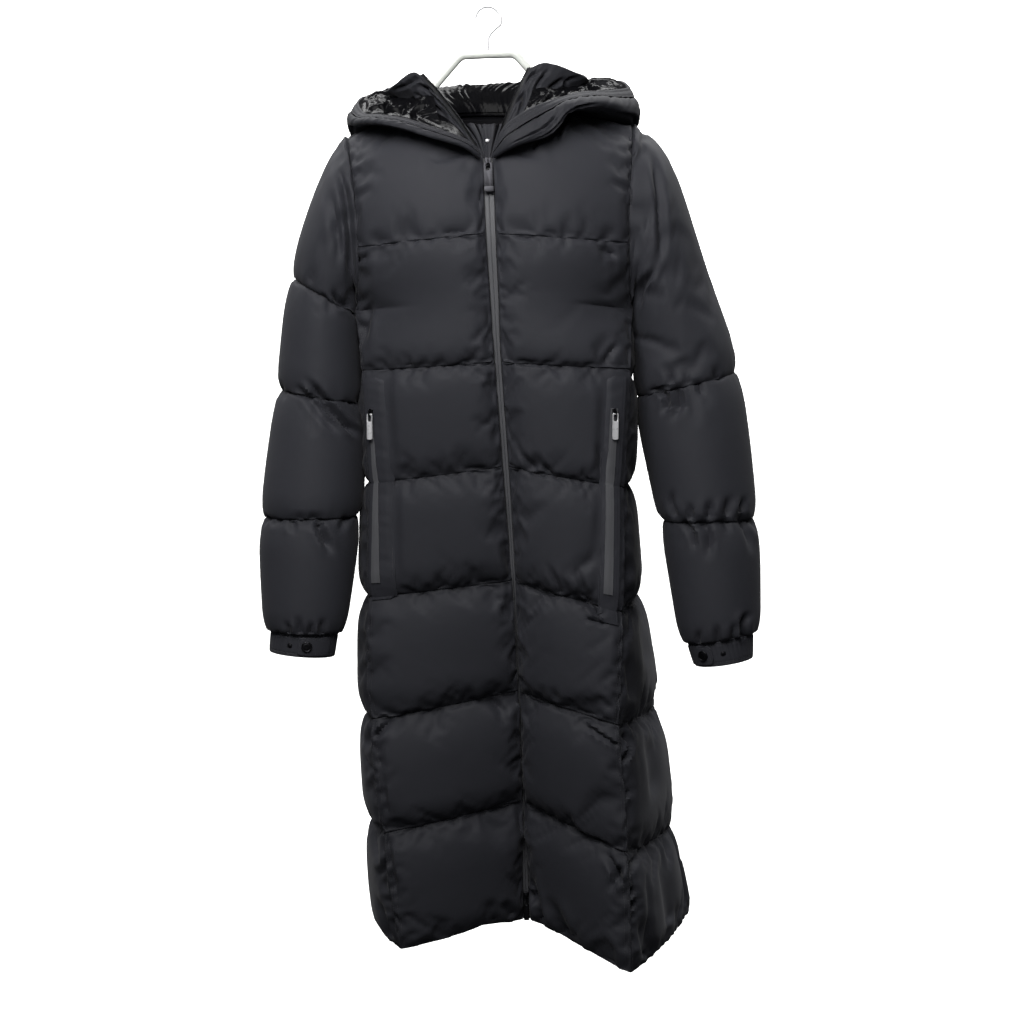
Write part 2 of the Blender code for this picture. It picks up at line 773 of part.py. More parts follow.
def neck_seam(side, station):
    """Point on the neck seam: 0 at the zip, 3 at the shoulder seam, 6 at the middle of the back."""
    shoulder_station = 3
    if station <= shoulder_station:
        point = front_edge(side, CHEST * (1 - station / shoulder_station))
    else:
        across = SHOULDER_SHARE + (0.5 - SHOULDER_SHARE) * (station - shoulder_station) / shoulder_station
        point = back_edge(across if side == "left" else 1 - across)
    inwards = unit(np.array([-point[0], -8 - point[1], 0]))
    forward = 1 - station / shoulder_station
    inset = COLLAR_INSET + COLLAR_INSET_ZIP * max(0.0, forward)
    inset += COLLAR_INSET_BACK * min(1.0, max(0.0, -forward * shoulder_station))
    return point + inwards * inset + np.array([0, 0, -1.5])


def collar_patch():
    last = len(COLLAR["left"]) - 1
    places = [last * column / COLLAR_COLUMNS for column in range(COLLAR_COLUMNS + 1)]
    stations = [("left", place) for place in places] + [("right", place) for place in places[-2::-1]]
    foot = [neck_seam(side, place) for side, place in stations]
    top = [catmull(COLLAR[side], place) for side, place in stations]
    upward, outward = COLLAR_STAND
    base = []
    for rise in COLLAR_RISES:
        shares = np.array([rise**outward, rise**outward, rise**upward])
        base.append([low + (high - low) * shares for low, high in zip(foot, top)])
    full = [[fullness(rise) * COLLAR_PUFF] * len(stations) for rise in COLLAR_RISES]
    return Patch(base, full, outside=from_middle(base))


def make_collar(materials):
    patch = collar_patch()
    outer, inner = patch.skins(wall=COLLAR_WALL)
    wall_panel("collar", outer, inner, materials["shell"])
    start = 1
    lining = inner[start:] - patch.normal[start:] * REST_GAP
    wall_panel("collar_lining", lining, lining - patch.normal[start:] * LINING_WALL, materials["lining"])
    for name, edge, next_edge in (("left", 0, 1), ("right", -1, -2)):
        along = np.gradient(patch.base[:, edge], axis=0)[1:]
        outwards = unit(np.cross(patch.normal[1:, edge], along))
        if np.sum(outwards * (patch.base[1:, edge] - patch.base[1:, next_edge])) < 0:
            outwards = -outwards
        widths = np.array(COLLAR_TAPE_WIDTHS)[:, None]
        near = patch.base[1:, edge] + outwards * 2 * SEAM_GAP
        base = np.stack([near, near + outwards * widths / 2, near + outwards * widths], axis=1)
        tape = Patch(base, np.zeros(base.shape[:2]), outside=patch.normal[1:, [edge] * 3])
        tape.normal[:] = patch.normal[1:, edge][:, None]
        wall_panel(f"collar_tape_{name}", *tape.skins(wall=1.2), materials["tape"])
    return patch


def hood_foot(side, station, collar):
    """Where the hood is sewn on: a little way up the collar, clear of its outer face."""
    column = station / HOOD_STATIONS * COLLAR_COLUMNS
    if side == "right":
        column = 2 * COLLAR_COLUMNS - column
    low = between(collar.base, 0, column)
    height = np.linalg.norm(between(collar.base, len(COLLAR_RISES) - 1, column) - low)
    row = np.interp(HOOD_FOOT_HEIGHT / height, COLLAR_RISES, range(len(COLLAR_RISES)))
    outwards = unit(between(collar.normal, row, column))
    return between(collar.outer, row, column) + outwards * HOOD_FOOT_CLEAR


def hood_section(side, station, parts, collar):
    """Points on the hood's wall, from its foot, round its lowest fold, to its rim.

    A part from 0 to 1 lies on the main panels, and one from 1 to 2 on the stitched edge.
    """
    rows = HOOD[side]
    foot = hood_foot(side, station, collar)
    fold = catmull([row[0] for row in rows], station)
    rim = catmull([row[1] for row in rows], station)
    control = 2 * fold - (foot + rim) / 2
    edge_share = min(HOOD_EDGE_MOST, HOOD_EDGE_WIDTH / (2 * np.linalg.norm(rim - control)))
    points = []
    for part in parts:
        rise = np.interp(part, (0, 1, 2), (0, 1 - edge_share, 1))
        points.append((1 - rise) ** 2 * foot + 2 * rise * (1 - rise) * control + rise**2 * rim)
    return points


def hood_patch(stations, parts, collar):
    """Stations are (side, station) pairs, left to right round the back."""
    sections = [hood_section(side, station, parts, collar) for side, station in stations]
    base = np.array(sections).transpose(1, 0, 2)
    neck_middle = np.array([0, 20, -160])
    outwards = np.zeros_like(base)
    outwards[-1] = base[-1] - neck_middle
    return Patch(base, np.zeros(base.shape[:2]), outside=outwards)


def hood_walls(stations, wall):
    """Thin where the hood's ends meet the zip, full from the third station on."""
    return [HOOD_FRONT_WALL + (wall - HOOD_FRONT_WALL) * min(1.0, place / 3) for side, place in stations]


def make_hood(materials, collar):
    side_places = [HOOD_SIDE_STATIONS * column / 9 for column in range(10)]
    back_place = (HOOD_SIDE_STATIONS + HOOD_STATIONS) / 2
    left_stations = [("left", place) for place in side_places]
    right_stations = [("right", place) for place in side_places[::-1]]
    between_sides = [("left", back_place), ("left", HOOD_STATIONS), ("right", back_place)]
    centre_stations = [left_stations[-1], *between_sides, right_stations[0]]
    whole = left_stations + between_sides + right_stations
    left = hood_patch(left_stations, HOOD_ROWS, collar)
    right = hood_patch(right_stations, HOOD_ROWS, collar)
    centre = hood_patch(centre_stations, HOOD_ROWS, collar)
    edge = hood_patch(whole, (1, 1.5, 2), collar)
    every = slice(None)
    share_edge(left, (every, -1), centre, (every, 0))
    share_edge(centre, (every, -1), right, (every, 0))
    side_count = len(side_places)
    left.normal[-1] = edge.normal[0, :side_count]
    centre.normal[-1] = edge.normal[0, side_count - 1 : side_count - 1 + len(centre_stations)]
    right.normal[-1] = edge.normal[0, -side_count:]
    pull_back(left, right=True, bottom=True, gap=HOOD_SEAM_GAP)
    pull_back(centre, left=True, right=True, bottom=True, gap=HOOD_SEAM_GAP)
    pull_back(right, left=True, bottom=True, gap=HOOD_SEAM_GAP)
    pull_back(edge, top=True, gap=HOOD_SEAM_GAP)
    for name, patch, stations in (
        ("hood_left", left, left_stations),
        ("hood_centre", centre, centre_stations),
        ("hood_right", right, right_stations),
    ):
        wall_panel(name, *patch.skins(wall=hood_walls(stations, HOOD_WALL)), materials["shell"])
    wall_panel("hood_edge", *edge.skins(wall=hood_walls(whole, HOOD_EDGE_WALL)), materials["shell"])


def make_inner_collar(materials):
    """The gathered inner collar that closes the neck behind the zip, with its small stud."""
    base = []
    for half_width, depth, height in INNER_COLLAR.values():
        parts = np.linspace(-1, 1, 9)
        row = [(half_width * part, depth + 8 * part**2, height + 4 * part**2) for part in parts]
        base.append(row)
    patch = Patch(base, np.zeros((3, 9)), outside=(0, -1, 0))
    outer, inner = patch.skins(wall=INNER_COLLAR_WALL)
    wall_panel("inner_collar", outer, inner, materials["shell"])
    facing = patch.normal[1, 4]
    centre = outer[1, 4] + facing * REST_GAP
    radius = INNER_STUD["radius"]
    disc("inner_collar_stud", radius, INNER_STUD["thick"], centre, facing, materials["bright_metal"])


# ---------------------------------------------------------------- zips

def make_tapes(materials):
    """Two tapes side by side in the gap between the fronts."""
    places = [place for place, puff in body_rows() if place >= CHEST]
    for side, sign in (("left", -1), ("right", 1)):
        base = []
        for place in places:
            middle, gap = zip_middle(place)
            near = 0.15
            far = gap - 2 * SEAM_GAP
            base.append([middle + np.array([sign * part, 0, 0]) for part in (near, far)])
        front = np.array(base) + np.array([0, -TAPE_WALL / 2, 0])
        back = np.array(base) + np.array([0, TAPE_WALL / 2, 0])
        wall_panel(f"zip_tape_{side}", front, back, materials["tape"])


def make_slider(name, kind, centre, turn, materials):
    """Slider, bridge and pull. `centre` is the middle of the slider's back face.

    The three are made facing -Y with +Z up, then given the Euler angles `turn`.
    """
    width, thick, height = SLIDERS[kind]["slider"]
    axes = turn.to_matrix()
    facing = -np.array(axes.col[1])
    upward = np.array(axes.col[2])
    bm = bmesh.new()
    bmesh.ops.create_cube(bm, size=1)
    bmesh.ops.scale(bm, vec=Vector((width, thick, height)) * MM, verts=bm.verts)
    lower = [vert for vert in bm.verts if vert.co.z < 0]
    bmesh.ops.scale(bm, vec=(SLIDER_TAPER, 1, 1), verts=lower)
    block = add_object(f"{name}_slider", bm, materials["dark_metal"])
    block.location = Vector(centre + facing * thick / 2) * MM
    block.rotation_euler = turn

    leg = BRIDGE_LEG
    stand = BRIDGE_STAND
    corner = BRIDGE_CORNER
    route = [(0, -SEAM_GAP, leg), (0, corner - stand, leg), (0, -stand, leg - corner)]
    route += [(0, -stand, corner - leg), (0, corner - stand, -leg), (0, -SEAM_GAP, -leg)]
    bridge = tube(f"{name}_bridge", route, BRIDGE_RADIUS, materials["dark_metal"])
    bridge.location = Vector(centre + facing * thick) * MM
    bridge.rotation_euler = turn

    pull = make_pull(f"{name}_pull", kind, materials)
    hang = -leg + BRIDGE_RADIUS + PULL_THICK / 2 + PULL_SEAT
    pull.location = Vector(centre + facing * (thick + PULL_AXIS_STAND) + upward * hang) * MM
    pull.rotation_euler = turn


def make_pull(name, kind, materials):
    """A flat plate with an eye, hanging from its own origin on the joint's axis."""
    width, length = SLIDERS[kind]["pull"]
    slot_width, slot_top, slot_bottom = PULL_SLOT
    columns = (-width / 2, -slot_width / 2, slot_width / 2, width / 2)
    rows = (PULL_THICK / 2, -slot_top, -slot_bottom, -length)
    bm = bmesh.new()
    bmesh.ops.create_grid(bm, x_segments=3, y_segments=3, size=1)
    eye = min(bm.faces, key=lambda face: face.calc_center_median().length)
    bmesh.ops.delete(bm, geom=[eye], context="FACES")
    for vert in bm.verts:
        column = round((vert.co.x + 1) / 2 * 3)
        row = round((1 - vert.co.y) / 2 * 3)
        vert.co = Vector((columns[column], PULL_THICK / 2, rows[row])) * MM
    made = bmesh.ops.extrude_face_region(bm, geom=bm.faces[:], use_keep_orig=True)
    moved = [item for item in made["geom"] if isinstance(item, bmesh.types.BMVert)]
    bmesh.ops.translate(bm, vec=Vector((0, -PULL_THICK, 0)) * MM, verts=moved)
    material = materials["bright_metal"] if kind == "pocket" else materials["dark_metal"]
    return add_object(name, bm, material)


def make_front_sliders(materials):
    names = [level for level in LEVELS if level in ZIP_LINE]
    places = [LEVELS.index(level) for level in names]
    heights = [ZIP_LINE[level][2] for level in names]
    for name, height in (("main", MAIN_SLIDER_Z), ("bottom", BOTTOM_SLIDER_Z)):
        place = np.interp(-height, [-value for value in heights], places)
        middle, gap = zip_middle(place)
        above, gap = zip_middle(max(place - 0.02, CHEST))
        below, gap = zip_middle(place + 0.02)
        run = above - below
        tilt = min(0.0, -math.atan2(run[1], run[2]))
        lean = math.atan2(run[0], run[2])
        middle[1] -= TAPE_WALL / 2 + REST_GAP * (1 if tilt else 2)
        make_slider(name, name, middle, Euler((tilt, lean, 0)), materials)


# ---------------------------------------------------------------- pockets

def strip_on(side, patch, levels, across_edges, lift, wall):
    """Outer and inner grids of a strip that lies on a front, and its normals."""
    row_places = [place for place, puff in body_rows()]
    inside = [place for place in row_places if levels[0] < place < levels[1]]
    own = FRONT_COLUMNS[side]
    crossed = [across for across in own if across_edges[0] < across < across_edges[1]]
    columns = np.interp([across_edges[0], *crossed, across_edges[1]], own, range(len(own)))
    grid = []
    normals = []
    for place in (levels[0], *inside, levels[1]):
        row = np.interp(place, row_places, range(len(row_places)))
        grid.append([between(patch.outer, row, column) for column in columns])
        normals.append([unit(between(patch.normal, row, column)) for column in columns])
    grid = np.array(grid)
    normals = np.array(normals)
    return grid + normals * (lift + wall), grid + normals * lift, normals


def make_pocket(side, patch, materials):
    shape = POCKETS[side]
    outer, inner, normals = strip_on(side, patch, shape["ends"], shape["welt"], WELT_LIFT, WELT_WALL)
    wall_panel(f"pocket_welt_{side}", outer, inner, materials["shell"])
    tape_lift = WELT_LIFT + WELT_WALL + REST_GAP
    outer, inner, normals = strip_on(side, patch, POCKET_ZIP, shape["tape"], tape_lift, POCKET_TAPE_WALL)
    wall_panel(f"pocket_tape_{side}", outer, inner, materials["tape"])
    half = 0.05
    near = (POCKET_SLIDER - half, POCKET_SLIDER + half)
    middle = sum(shape["tape"]) / 2
    spot = (middle - 0.01, middle + 0.01)
    top, bottom, facing = strip_on(side, patch, near, spot, tape_lift, POCKET_TAPE_WALL)
    facing = facing.mean(axis=(0, 1))
    out = unit(np.array([facing[0], facing[1], 0]))
    centre = top.mean(axis=(0, 1)) + out * POCKET_SLIDER_LIFT
    turn = Euler((0, 0, math.atan2(facing[0], -facing[1])))
    make_slider(f"pocket_{side}", "pocket", centre, turn, materials)


# ---------------------------------------------------------------- hanger

def make_hanger(materials):
    half = [np.array([x, 0, z], dtype=float) for x, z in HANGER_BAR]
    points = [point * np.array([-1, 1, 1]) for point in half[:0:-1]] + half
    for point in points:
        point[2] += HANGER_TILT * point[0]
    tube("hanger", points, HANGER_RADIUS, materials["plastic"])
    bar_top = HANGER_BAR[0][1] + HANGER_RADIUS
    middle = HOOK_RADIUS - HOOK_BEND
    bend = []
    for turn in range(-10, 162, 19):
        angle = math.radians(turn)
        bend.append((-HOOK_BEND * math.cos(angle), 0, middle + HOOK_BEND * math.sin(angle)))
    shank = [(HOOK_BEND, 0, middle), (HOOK_BEND, 0, middle - 6), (6, 0, middle - 15), (0, 0, middle - 23)]
    tube("hanger_hook", bend + shank + [(0, 0, bar_top + 0.3)], HOOK_RADIUS, materials["bright_metal"])


def main():
    clear_scene()
    group = bpy.data.collections.new(COAT_NAME)
    bpy.context.scene.collection.children.link(group)
    materials = {
        "shell": make_material("shell_nylon", (0.037, 0.037, 0.043), 0.55),
        "lining": make_material("lining_nylon", (0.02, 0.02, 0.025), 0.4),
        "tape": make_material("zip_tape", (0.11, 0.115, 0.12), 0.5),
        "dark_metal": make_material("dark_metal", (0.05, 0.05, 0.055), 0.35, 1.0),
        "bright_metal": make_material("bright_metal", (0.7, 0.7, 0.72), 0.25, 1.0),
        "plastic": make_material("hanger_plastic", (0.85, 0.86, 0.84), 0.35),
    }
    fronts = make_body(materials)
    make_sleeves(materials)
    collar = make_collar(materials)
    make_hood(materials, collar)
    make_inner_collar(materials)
    make_tapes(materials)
    make_front_sliders(materials)
    for side in ("left", "right"):
        make_pocket(side, fronts[side], materials)
    make_hanger(materials)


main()
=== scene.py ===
import json
import math

import bmesh
import bpy
import numpy as np
from mathutils import Euler, Matrix, Vector


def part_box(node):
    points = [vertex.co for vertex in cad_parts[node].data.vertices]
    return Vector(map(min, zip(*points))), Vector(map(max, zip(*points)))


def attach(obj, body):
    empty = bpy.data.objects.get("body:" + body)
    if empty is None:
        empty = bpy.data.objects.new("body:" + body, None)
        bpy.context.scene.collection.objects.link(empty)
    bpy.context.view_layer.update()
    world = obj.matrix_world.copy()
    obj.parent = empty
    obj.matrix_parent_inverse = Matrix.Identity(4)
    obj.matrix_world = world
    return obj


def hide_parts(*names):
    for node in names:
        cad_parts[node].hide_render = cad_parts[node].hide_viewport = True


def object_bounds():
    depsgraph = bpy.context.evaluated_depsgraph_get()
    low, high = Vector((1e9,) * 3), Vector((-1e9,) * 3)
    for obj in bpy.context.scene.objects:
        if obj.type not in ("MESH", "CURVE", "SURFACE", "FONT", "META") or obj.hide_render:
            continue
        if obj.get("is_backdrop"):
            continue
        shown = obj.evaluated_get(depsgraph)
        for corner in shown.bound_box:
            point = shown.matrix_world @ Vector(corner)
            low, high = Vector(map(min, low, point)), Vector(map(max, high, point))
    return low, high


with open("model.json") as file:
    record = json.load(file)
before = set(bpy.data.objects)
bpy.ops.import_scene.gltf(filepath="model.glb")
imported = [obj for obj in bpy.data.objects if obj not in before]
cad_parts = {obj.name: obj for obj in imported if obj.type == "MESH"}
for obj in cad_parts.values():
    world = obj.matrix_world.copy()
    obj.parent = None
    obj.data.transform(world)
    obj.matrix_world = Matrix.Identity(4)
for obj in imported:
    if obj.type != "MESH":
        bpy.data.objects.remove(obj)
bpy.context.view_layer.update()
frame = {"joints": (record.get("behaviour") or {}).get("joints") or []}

mm = 0.001

# The coat hangs from a hook at the origin. Its front faces -Y, and "left" is the viewer's left.
# All the tables below are in millimetres.

camera = {"place": (32, -2500, -424.0), "tiltDown": 5.622, "lens": 65, "sensor": 36}
studio = {
    "paper": (0.86, 0.86, 0.85),
    "floorZ": -1900,
    "floorFront": -3600,
    "wallY": 3000,
    "wallTop": 2600,
    "sweepRadius": 900,
    "halfWidth": 3400,
    "world": (0.93, 0.95, 1.0),
    "worldStrength": 0.07,
}
# place, what it looks at, width, height, watts, colour
lamps = {
    "keyLight": ((-260, -1200, 560), (0, 0, -300), 1.2, 0.9, 32, (1.0, 0.99, 0.98)),
    "fillLight": ((-500, -2600, 200), (0, 0, -420), 1.8, 1.4, 2.4, (0.95, 0.97, 1.0)),
    "topLight": ((0, -500, 1300), (0, 0, -300), 1.2, 0.8, 2.5, (1.0, 1.0, 1.0)),
    "paperLight": ((0, 1100, 1500), (0, 3000, -500), 5.0, 2.0, 420, (1.0, 1.0, 1.0)),
}


def aim(item, target):
    way = Vector(target) * mm - item.location
    item.rotation_euler = way.to_track_quat("-Z", "Y").to_euler()


def makeStudio():
    scene = bpy.context.scene
    lens = bpy.data.cameras.new("camera")
    lens.lens = camera["lens"]
    lens.sensor_width = camera["sensor"]
    view = bpy.data.objects.new("camera", lens)
    view.location = Vector(camera["place"]) * mm
    view.rotation_euler = (math.radians(90 - camera["tiltDown"]), 0, 0)
    scene.collection.objects.link(view)
    scene.camera = view

    for name, (place, target, width, height, watts, colour) in lamps.items():
        lamp = bpy.data.lights.new(name, "AREA")
        lamp.shape = "RECTANGLE"
        lamp.size = width
        lamp.size_y = height
        lamp.energy = watts
        lamp.color = colour
        item = bpy.data.objects.new(name, lamp)
        item.location = Vector(place) * mm
        aim(item, target)
        scene.collection.objects.link(item)

    world = bpy.data.worlds.new("studio")
    world.use_nodes = True
    sky = world.node_tree.nodes["Background"]
    sky.inputs["Color"].default_value = (*studio["world"], 1)
    sky.inputs["Strength"].default_value = studio["worldStrength"]
    scene.world = world
    scene.view_settings.view_transform = "Standard"

    # one sheet of paper: floor, a round sweep, then the wall
    bm = bmesh.new()
    first = bm.verts.new((-studio["halfWidth"] * mm, studio["floorFront"] * mm, studio["floorZ"] * mm))
    turnY = (studio["wallY"] - studio["sweepRadius"]) * mm
    second = bm.verts.new((first.co.x, turnY, first.co.z))
    bm.edges.new((first, second))
    middle = Vector((first.co.x, turnY, first.co.z + studio["sweepRadius"] * mm))
    bmesh.ops.spin(bm, geom=[second], cent=middle, axis=(1, 0, 0), angle=math.pi / 2, steps=24, use_merge=False)
    top = max(bm.verts, key=lambda vert: (vert.co.z, vert.co.y))
    raised = bmesh.ops.extrude_vert_indiv(bm, verts=[top])
    raised["verts"][0].co.z = studio["wallTop"] * mm
    wide = bmesh.ops.extrude_edge_only(bm, edges=bm.edges[:])
    moved = [item for item in wide["geom"] if isinstance(item, bmesh.types.BMVert)]
    bmesh.ops.translate(bm, verts=moved, vec=(2 * studio["halfWidth"] * mm, 0, 0))
    bmesh.ops.recalc_face_normals(bm, faces=bm.faces)
    mesh = bpy.data.meshes.new("paperSweep")
    bm.to_mesh(mesh)
    bm.free()
    mesh.shade_smooth()
    paper = bpy.data.objects.new("paperSweep", mesh)
    scene.collection.objects.link(paper)
    mesh.materials.append(paperFinish())
    paper.visible_glossy = False
    paper.visible_diffuse = False
    paper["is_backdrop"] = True
    print("studio ready")


# a socket that takes part in Python expressions
class Wire:
    def __init__(self, graph, socket):
        self.graph = graph
        self.socket = socket

    def join(self, kind, first, second):
        return self.graph.add("ShaderNodeMath", {"operation": kind}, {0: first, 1: second})

    def __add__(self, other):
        return self.join("ADD", self, other)

    def __radd__(self, other):
        return self.join("ADD", other, self)

    def __mul__(self, other):
        return self.join("MULTIPLY", self, other)

    def __rmul__(self, other):
        return self.join("MULTIPLY", other, self)


shaderSockets = {
    "Base": "Base Color", "Specular": "Specular IOR Level", "Sheen": "Sheen Weight",
    "SheenRoughness": "Sheen Roughness",
}


class Finish:
    def __init__(self, name):
        self.material = bpy.data.materials.new(name)
        self.material.use_nodes = True
        self.tree = self.material.node_tree
        self.shader = self.tree.nodes["Principled BSDF"]
        self.place = self.add("ShaderNodeTexCoord", {}, {}, output="Object")

    def add(self, kind, settings, sockets, output=0):
        node = self.tree.nodes.new(kind)
        for name, value in settings.items():
            setattr(node, name, value)
        for key, value in sockets.items():
            self.feed(node.inputs[key], value)
        return Wire(self, node.outputs[output])

    def feed(self, socket, value):
        if isinstance(value, Wire):
            self.tree.links.new(value.socket, socket)
        else:
            socket.default_value = value

    def set(self, **sockets):
        for key, value in sockets.items():
            self.feed(self.shader.inputs[shaderSockets.get(key, key)], value)

    def noise(self, size, detail=3.0, roughness=0.55, stretch=(1, 1, 1), source=None):
        # size is the rough width of one blob in millimetres
        scaled = self.add(
            "ShaderNodeMapping",
            {"vector_type": "POINT"},
            {"Vector": source or self.place, "Scale": tuple(1000 / size / part for part in stretch)},
        )
        return self.add(
            "ShaderNodeTexNoise",
            {"noise_dimensions": "3D"},
            {"Vector": scaled, "Scale": 1.0, "Detail": detail, "Roughness": roughness},
            output="Fac",
        )

    def blend(self, share, first, second):
        pair = [part if isinstance(part, Wire) else (*part, 1) for part in (first, second)]
        return self.add("ShaderNodeMix", {"data_type": "RGBA"}, {0: share, 6: pair[0], 7: pair[1]}, output=2)

    def part(self, vector, which):
        return self.add("ShaderNodeSeparateXYZ", {}, {0: vector}, output=which)

    def wave(self, value):
        return self.add("ShaderNodeMath", {"operation": "SINE"}, {0: value})

    def attribute(self, name):
        return self.add("ShaderNodeAttribute", {"attribute_name": name}, {}, output="Fac")

    def bump(self, height, depth, strength=1.0, under=None):
        # depth is the height of the relief in millimetres
        sockets = {"Height": height, "Distance": depth * mm, "Strength": strength}
        if under:
            sockets["Normal"] = under
        return self.add("ShaderNodeBump", {}, sockets, output="Normal")


def shaded(colour, share):
    return tuple(part * share for part in colour)


def paperFinish():
    look = Finish("paper")
    grain = look.noise(3, detail=4)
    look.set(Base=look.blend(grain, studio["paper"], shaded(studio["paper"], 0.985)))
    look.set(Roughness=0.9, Specular=0.1, Normal=look.bump(grain, 0.05, 0.3))
    return look.material


shellLook = {
    "dark": (0.0200, 0.0208, 0.0262),
    "light": (0.0285, 0.0294, 0.0360),
    "roughness": 0.68,
    "specular": 0.22,
    "sheen": 0.05,
    "threadPitch": 0.9,  # two threads of the weave
}


# shade below 1 darkens every colour of this cloth: a painted-shade copy of the shell
def shellFinish(name="shellNylon", shade=1.0, wrinkle=1.0):
    look = Finish(name)
    cloth = look.add("ShaderNodeUVMap", {"uv_map": "cloth"}, {}, output="UV")
    seam = look.attribute("nearSeam")
    cloud = look.noise(150, detail=2)
    patchy = look.noise(22, detail=3, roughness=0.6)
    tone = cloud * 0.6 + patchy * 0.3 + 0.05
    dark = shaded(shellLook["dark"], shade)
    base = look.blend(tone, dark, shaded(shellLook["light"], shade))
    # painted shade: the colour darkens near stitched quilting lines and panel seams, where the cloth dips
    base = look.blend(seam * 0.45, base, shaded(dark, 0.35))
    # the weave: two sets of fine threads
    threads = 1000 * 2 * math.pi / shellLook["threadPitch"]
    across = look.wave(look.part(cloth, 0) * threads)
    down = look.wave(look.part(cloth, 1) * threads)
    weave = across * down
    # soft dimples everywhere, and short gathers that fade away from a stitched line
    dimples = look.noise(46, detail=2, roughness=0.5)
    gathers = look.noise(9, detail=2, roughness=0.5, stretch=(1, 3.4, 1), source=cloth)
    crumple = look.noise(14, detail=4, roughness=0.62)
    relief = look.bump(dimples, 1.3 * wrinkle, 0.5)
    relief = look.bump(gathers * seam, 0.9 * wrinkle, 0.6, under=relief)
    relief = look.bump(crumple, 0.4 * wrinkle, 0.4, under=relief)
    relief = look.bump(weave, 0.03, 0.35, under=relief)
    look.set(Base=base, Roughness=patchy * 0.10 + (shellLook["roughness"] - 0.05), Normal=relief)
    look.set(Specular=shellLook["specular"], Sheen=shellLook["sheen"], SheenRoughness=0.4)
    look.material.use_backface_culling = False
    return look.material


liningLook = {
    "dark": (0.002, 0.002, 0.0024), "light": (0.005, 0.005, 0.006), "roughness": 0.2, "specular": 0.035,
}


def liningFinish():
    look = Finish("liningNylon")
    tone = look.noise(30, detail=3)
    folds = look.noise(16, detail=3, roughness=0.6, stretch=(1, 1, 3.0))
    crinkle = look.noise(9, detail=3, roughness=0.5)
    relief = look.bump(folds, 1.6, 0.5)
    relief = look.bump(crinkle, 0.7, 0.45, under=relief)
    look.set(Base=look.blend(tone, liningLook["dark"], liningLook["light"]), Normal=relief)
    look.set(Roughness=crinkle * 0.2 + (liningLook["roughness"] - 0.1), Specular=liningLook["specular"])
    return look.material


laminate = {"dark": (0.054, 0.055, 0.060), "light": (0.100, 0.102, 0.110)}


def tapeFinish(name="zipTape", shade=1.0):
    # laminated tape: smooth grey film over a knitted tape
    look = Finish(name)
    cloth = look.add("ShaderNodeUVMap", {"uv_map": "cloth"}, {}, output="UV")
    streaks = look.noise(3, detail=3, stretch=(1, 22, 1), source=cloth)
    cloud = look.noise(60, detail=2)
    tone = streaks * 0.5 + cloud * 0.5
    look.set(Base=look.blend(tone, shaded(laminate["dark"], shade), shaded(laminate["light"], shade)))
    look.set(Roughness=streaks * 0.12 + 0.44, Specular=0.28, Normal=look.bump(streaks, 0.12, 0.5))
    return look.material


def metalFinish(name, dark, light, roughness, metallic=1.0, scratch=0.08):
    look = Finish(name)
    wear = look.noise(4, detail=4)
    brush = look.noise(0.7, detail=2, stretch=(1, 1, 9))
    look.set(Base=look.blend(wear, dark, light), Metallic=metallic, Normal=look.bump(brush, 0.02, 0.3))
    look.set(Roughness=brush * scratch + wear * 0.1 + (roughness - 0.08))
    return look.material


def plasticFinish():
    look = Finish("hangerPlastic")
    cloud = look.noise(40, detail=3)
    pits = look.noise(1.6, detail=2)
    look.set(Base=look.blend(cloud, (0.62, 0.65, 0.61), (0.72, 0.74, 0.70)))
    look.set(Roughness=pits * 0.1 + 0.30, Specular=0.45, Normal=look.bump(pits, 0.03, 0.3))
    return look.material


def threadFinish():
    look = Finish("thread")
    fibre = look.noise(0.5, detail=2)
    look.set(Base=look.blend(fibre, (0.020, 0.020, 0.023), (0.045, 0.045, 0.050)))
    look.set(Roughness=0.55, Normal=look.bump(fibre, 0.05, 0.5))
    return look.material


finishes = {
    "shell": shellFinish(),
    # painted shade: the collar, hood and inner collar get the shell cloth darkened to 0.72, as the lamps above
    # light these upward-facing pieces too strongly
    "shellSoft": shellFinish("hoodNylon", shade=0.72, wrinkle=1.5),
    "lining": liningFinish(),
    "tape": tapeFinish(),
    "darkTape": tapeFinish("darkTape", 0.2),
    "darkMetal": metalFinish("darkMetal", (0.014, 0.014, 0.016), (0.038, 0.038, 0.042), 0.36),
    "brightMetal": metalFinish("brightMetal", (0.72, 0.72, 0.74), (0.92, 0.92, 0.94), 0.28, 0.45),
    "plastic": plasticFinish(),
    "thread": threadFinish(),
}
print("finishes ready")
makeStudio()


def unit(vectors):
    length = np.linalg.norm(vectors, axis=-1, keepdims=True)
    return vectors / np.maximum(length, 1e-12)


def runAlong(points):
    # how far along a line each of its points lies
    return np.concatenate([[0], np.cumsum(np.linalg.norm(np.diff(points, axis=0), axis=1))])


def lengthOf(points):
    return np.linalg.norm(np.diff(points, axis=0), axis=1).sum()


def between(stops, run, vectors):
    # vectors known along a run, read off at other stops
    return np.stack([np.interp(stops, run, vectors[:, axis]) for axis in range(3)], axis=-1)


def curveAt(points, places):
    # places on a smooth curve through equally spaced points
    points = np.asarray(points, dtype=float)
    places = np.atleast_1d(np.asarray(places, dtype=float))
    last = len(points) - 1
    padded = np.concatenate([[2 * points[0] - points[1]], points, [2 * points[-1] - points[-2]]])
    first = np.clip(places.astype(int), 0, last - 1)
    part = (places - first).reshape(-1, *[1] * (points.ndim - 1))
    before, here, there, after = (padded[first + step] for step in range(4))
    return 0.5 * (
        2 * here
        + (there - before) * part
        + (2 * before - 5 * here + 4 * there - after) * part**2
        + (3 * here - before - 3 * there + after) * part**3
    )


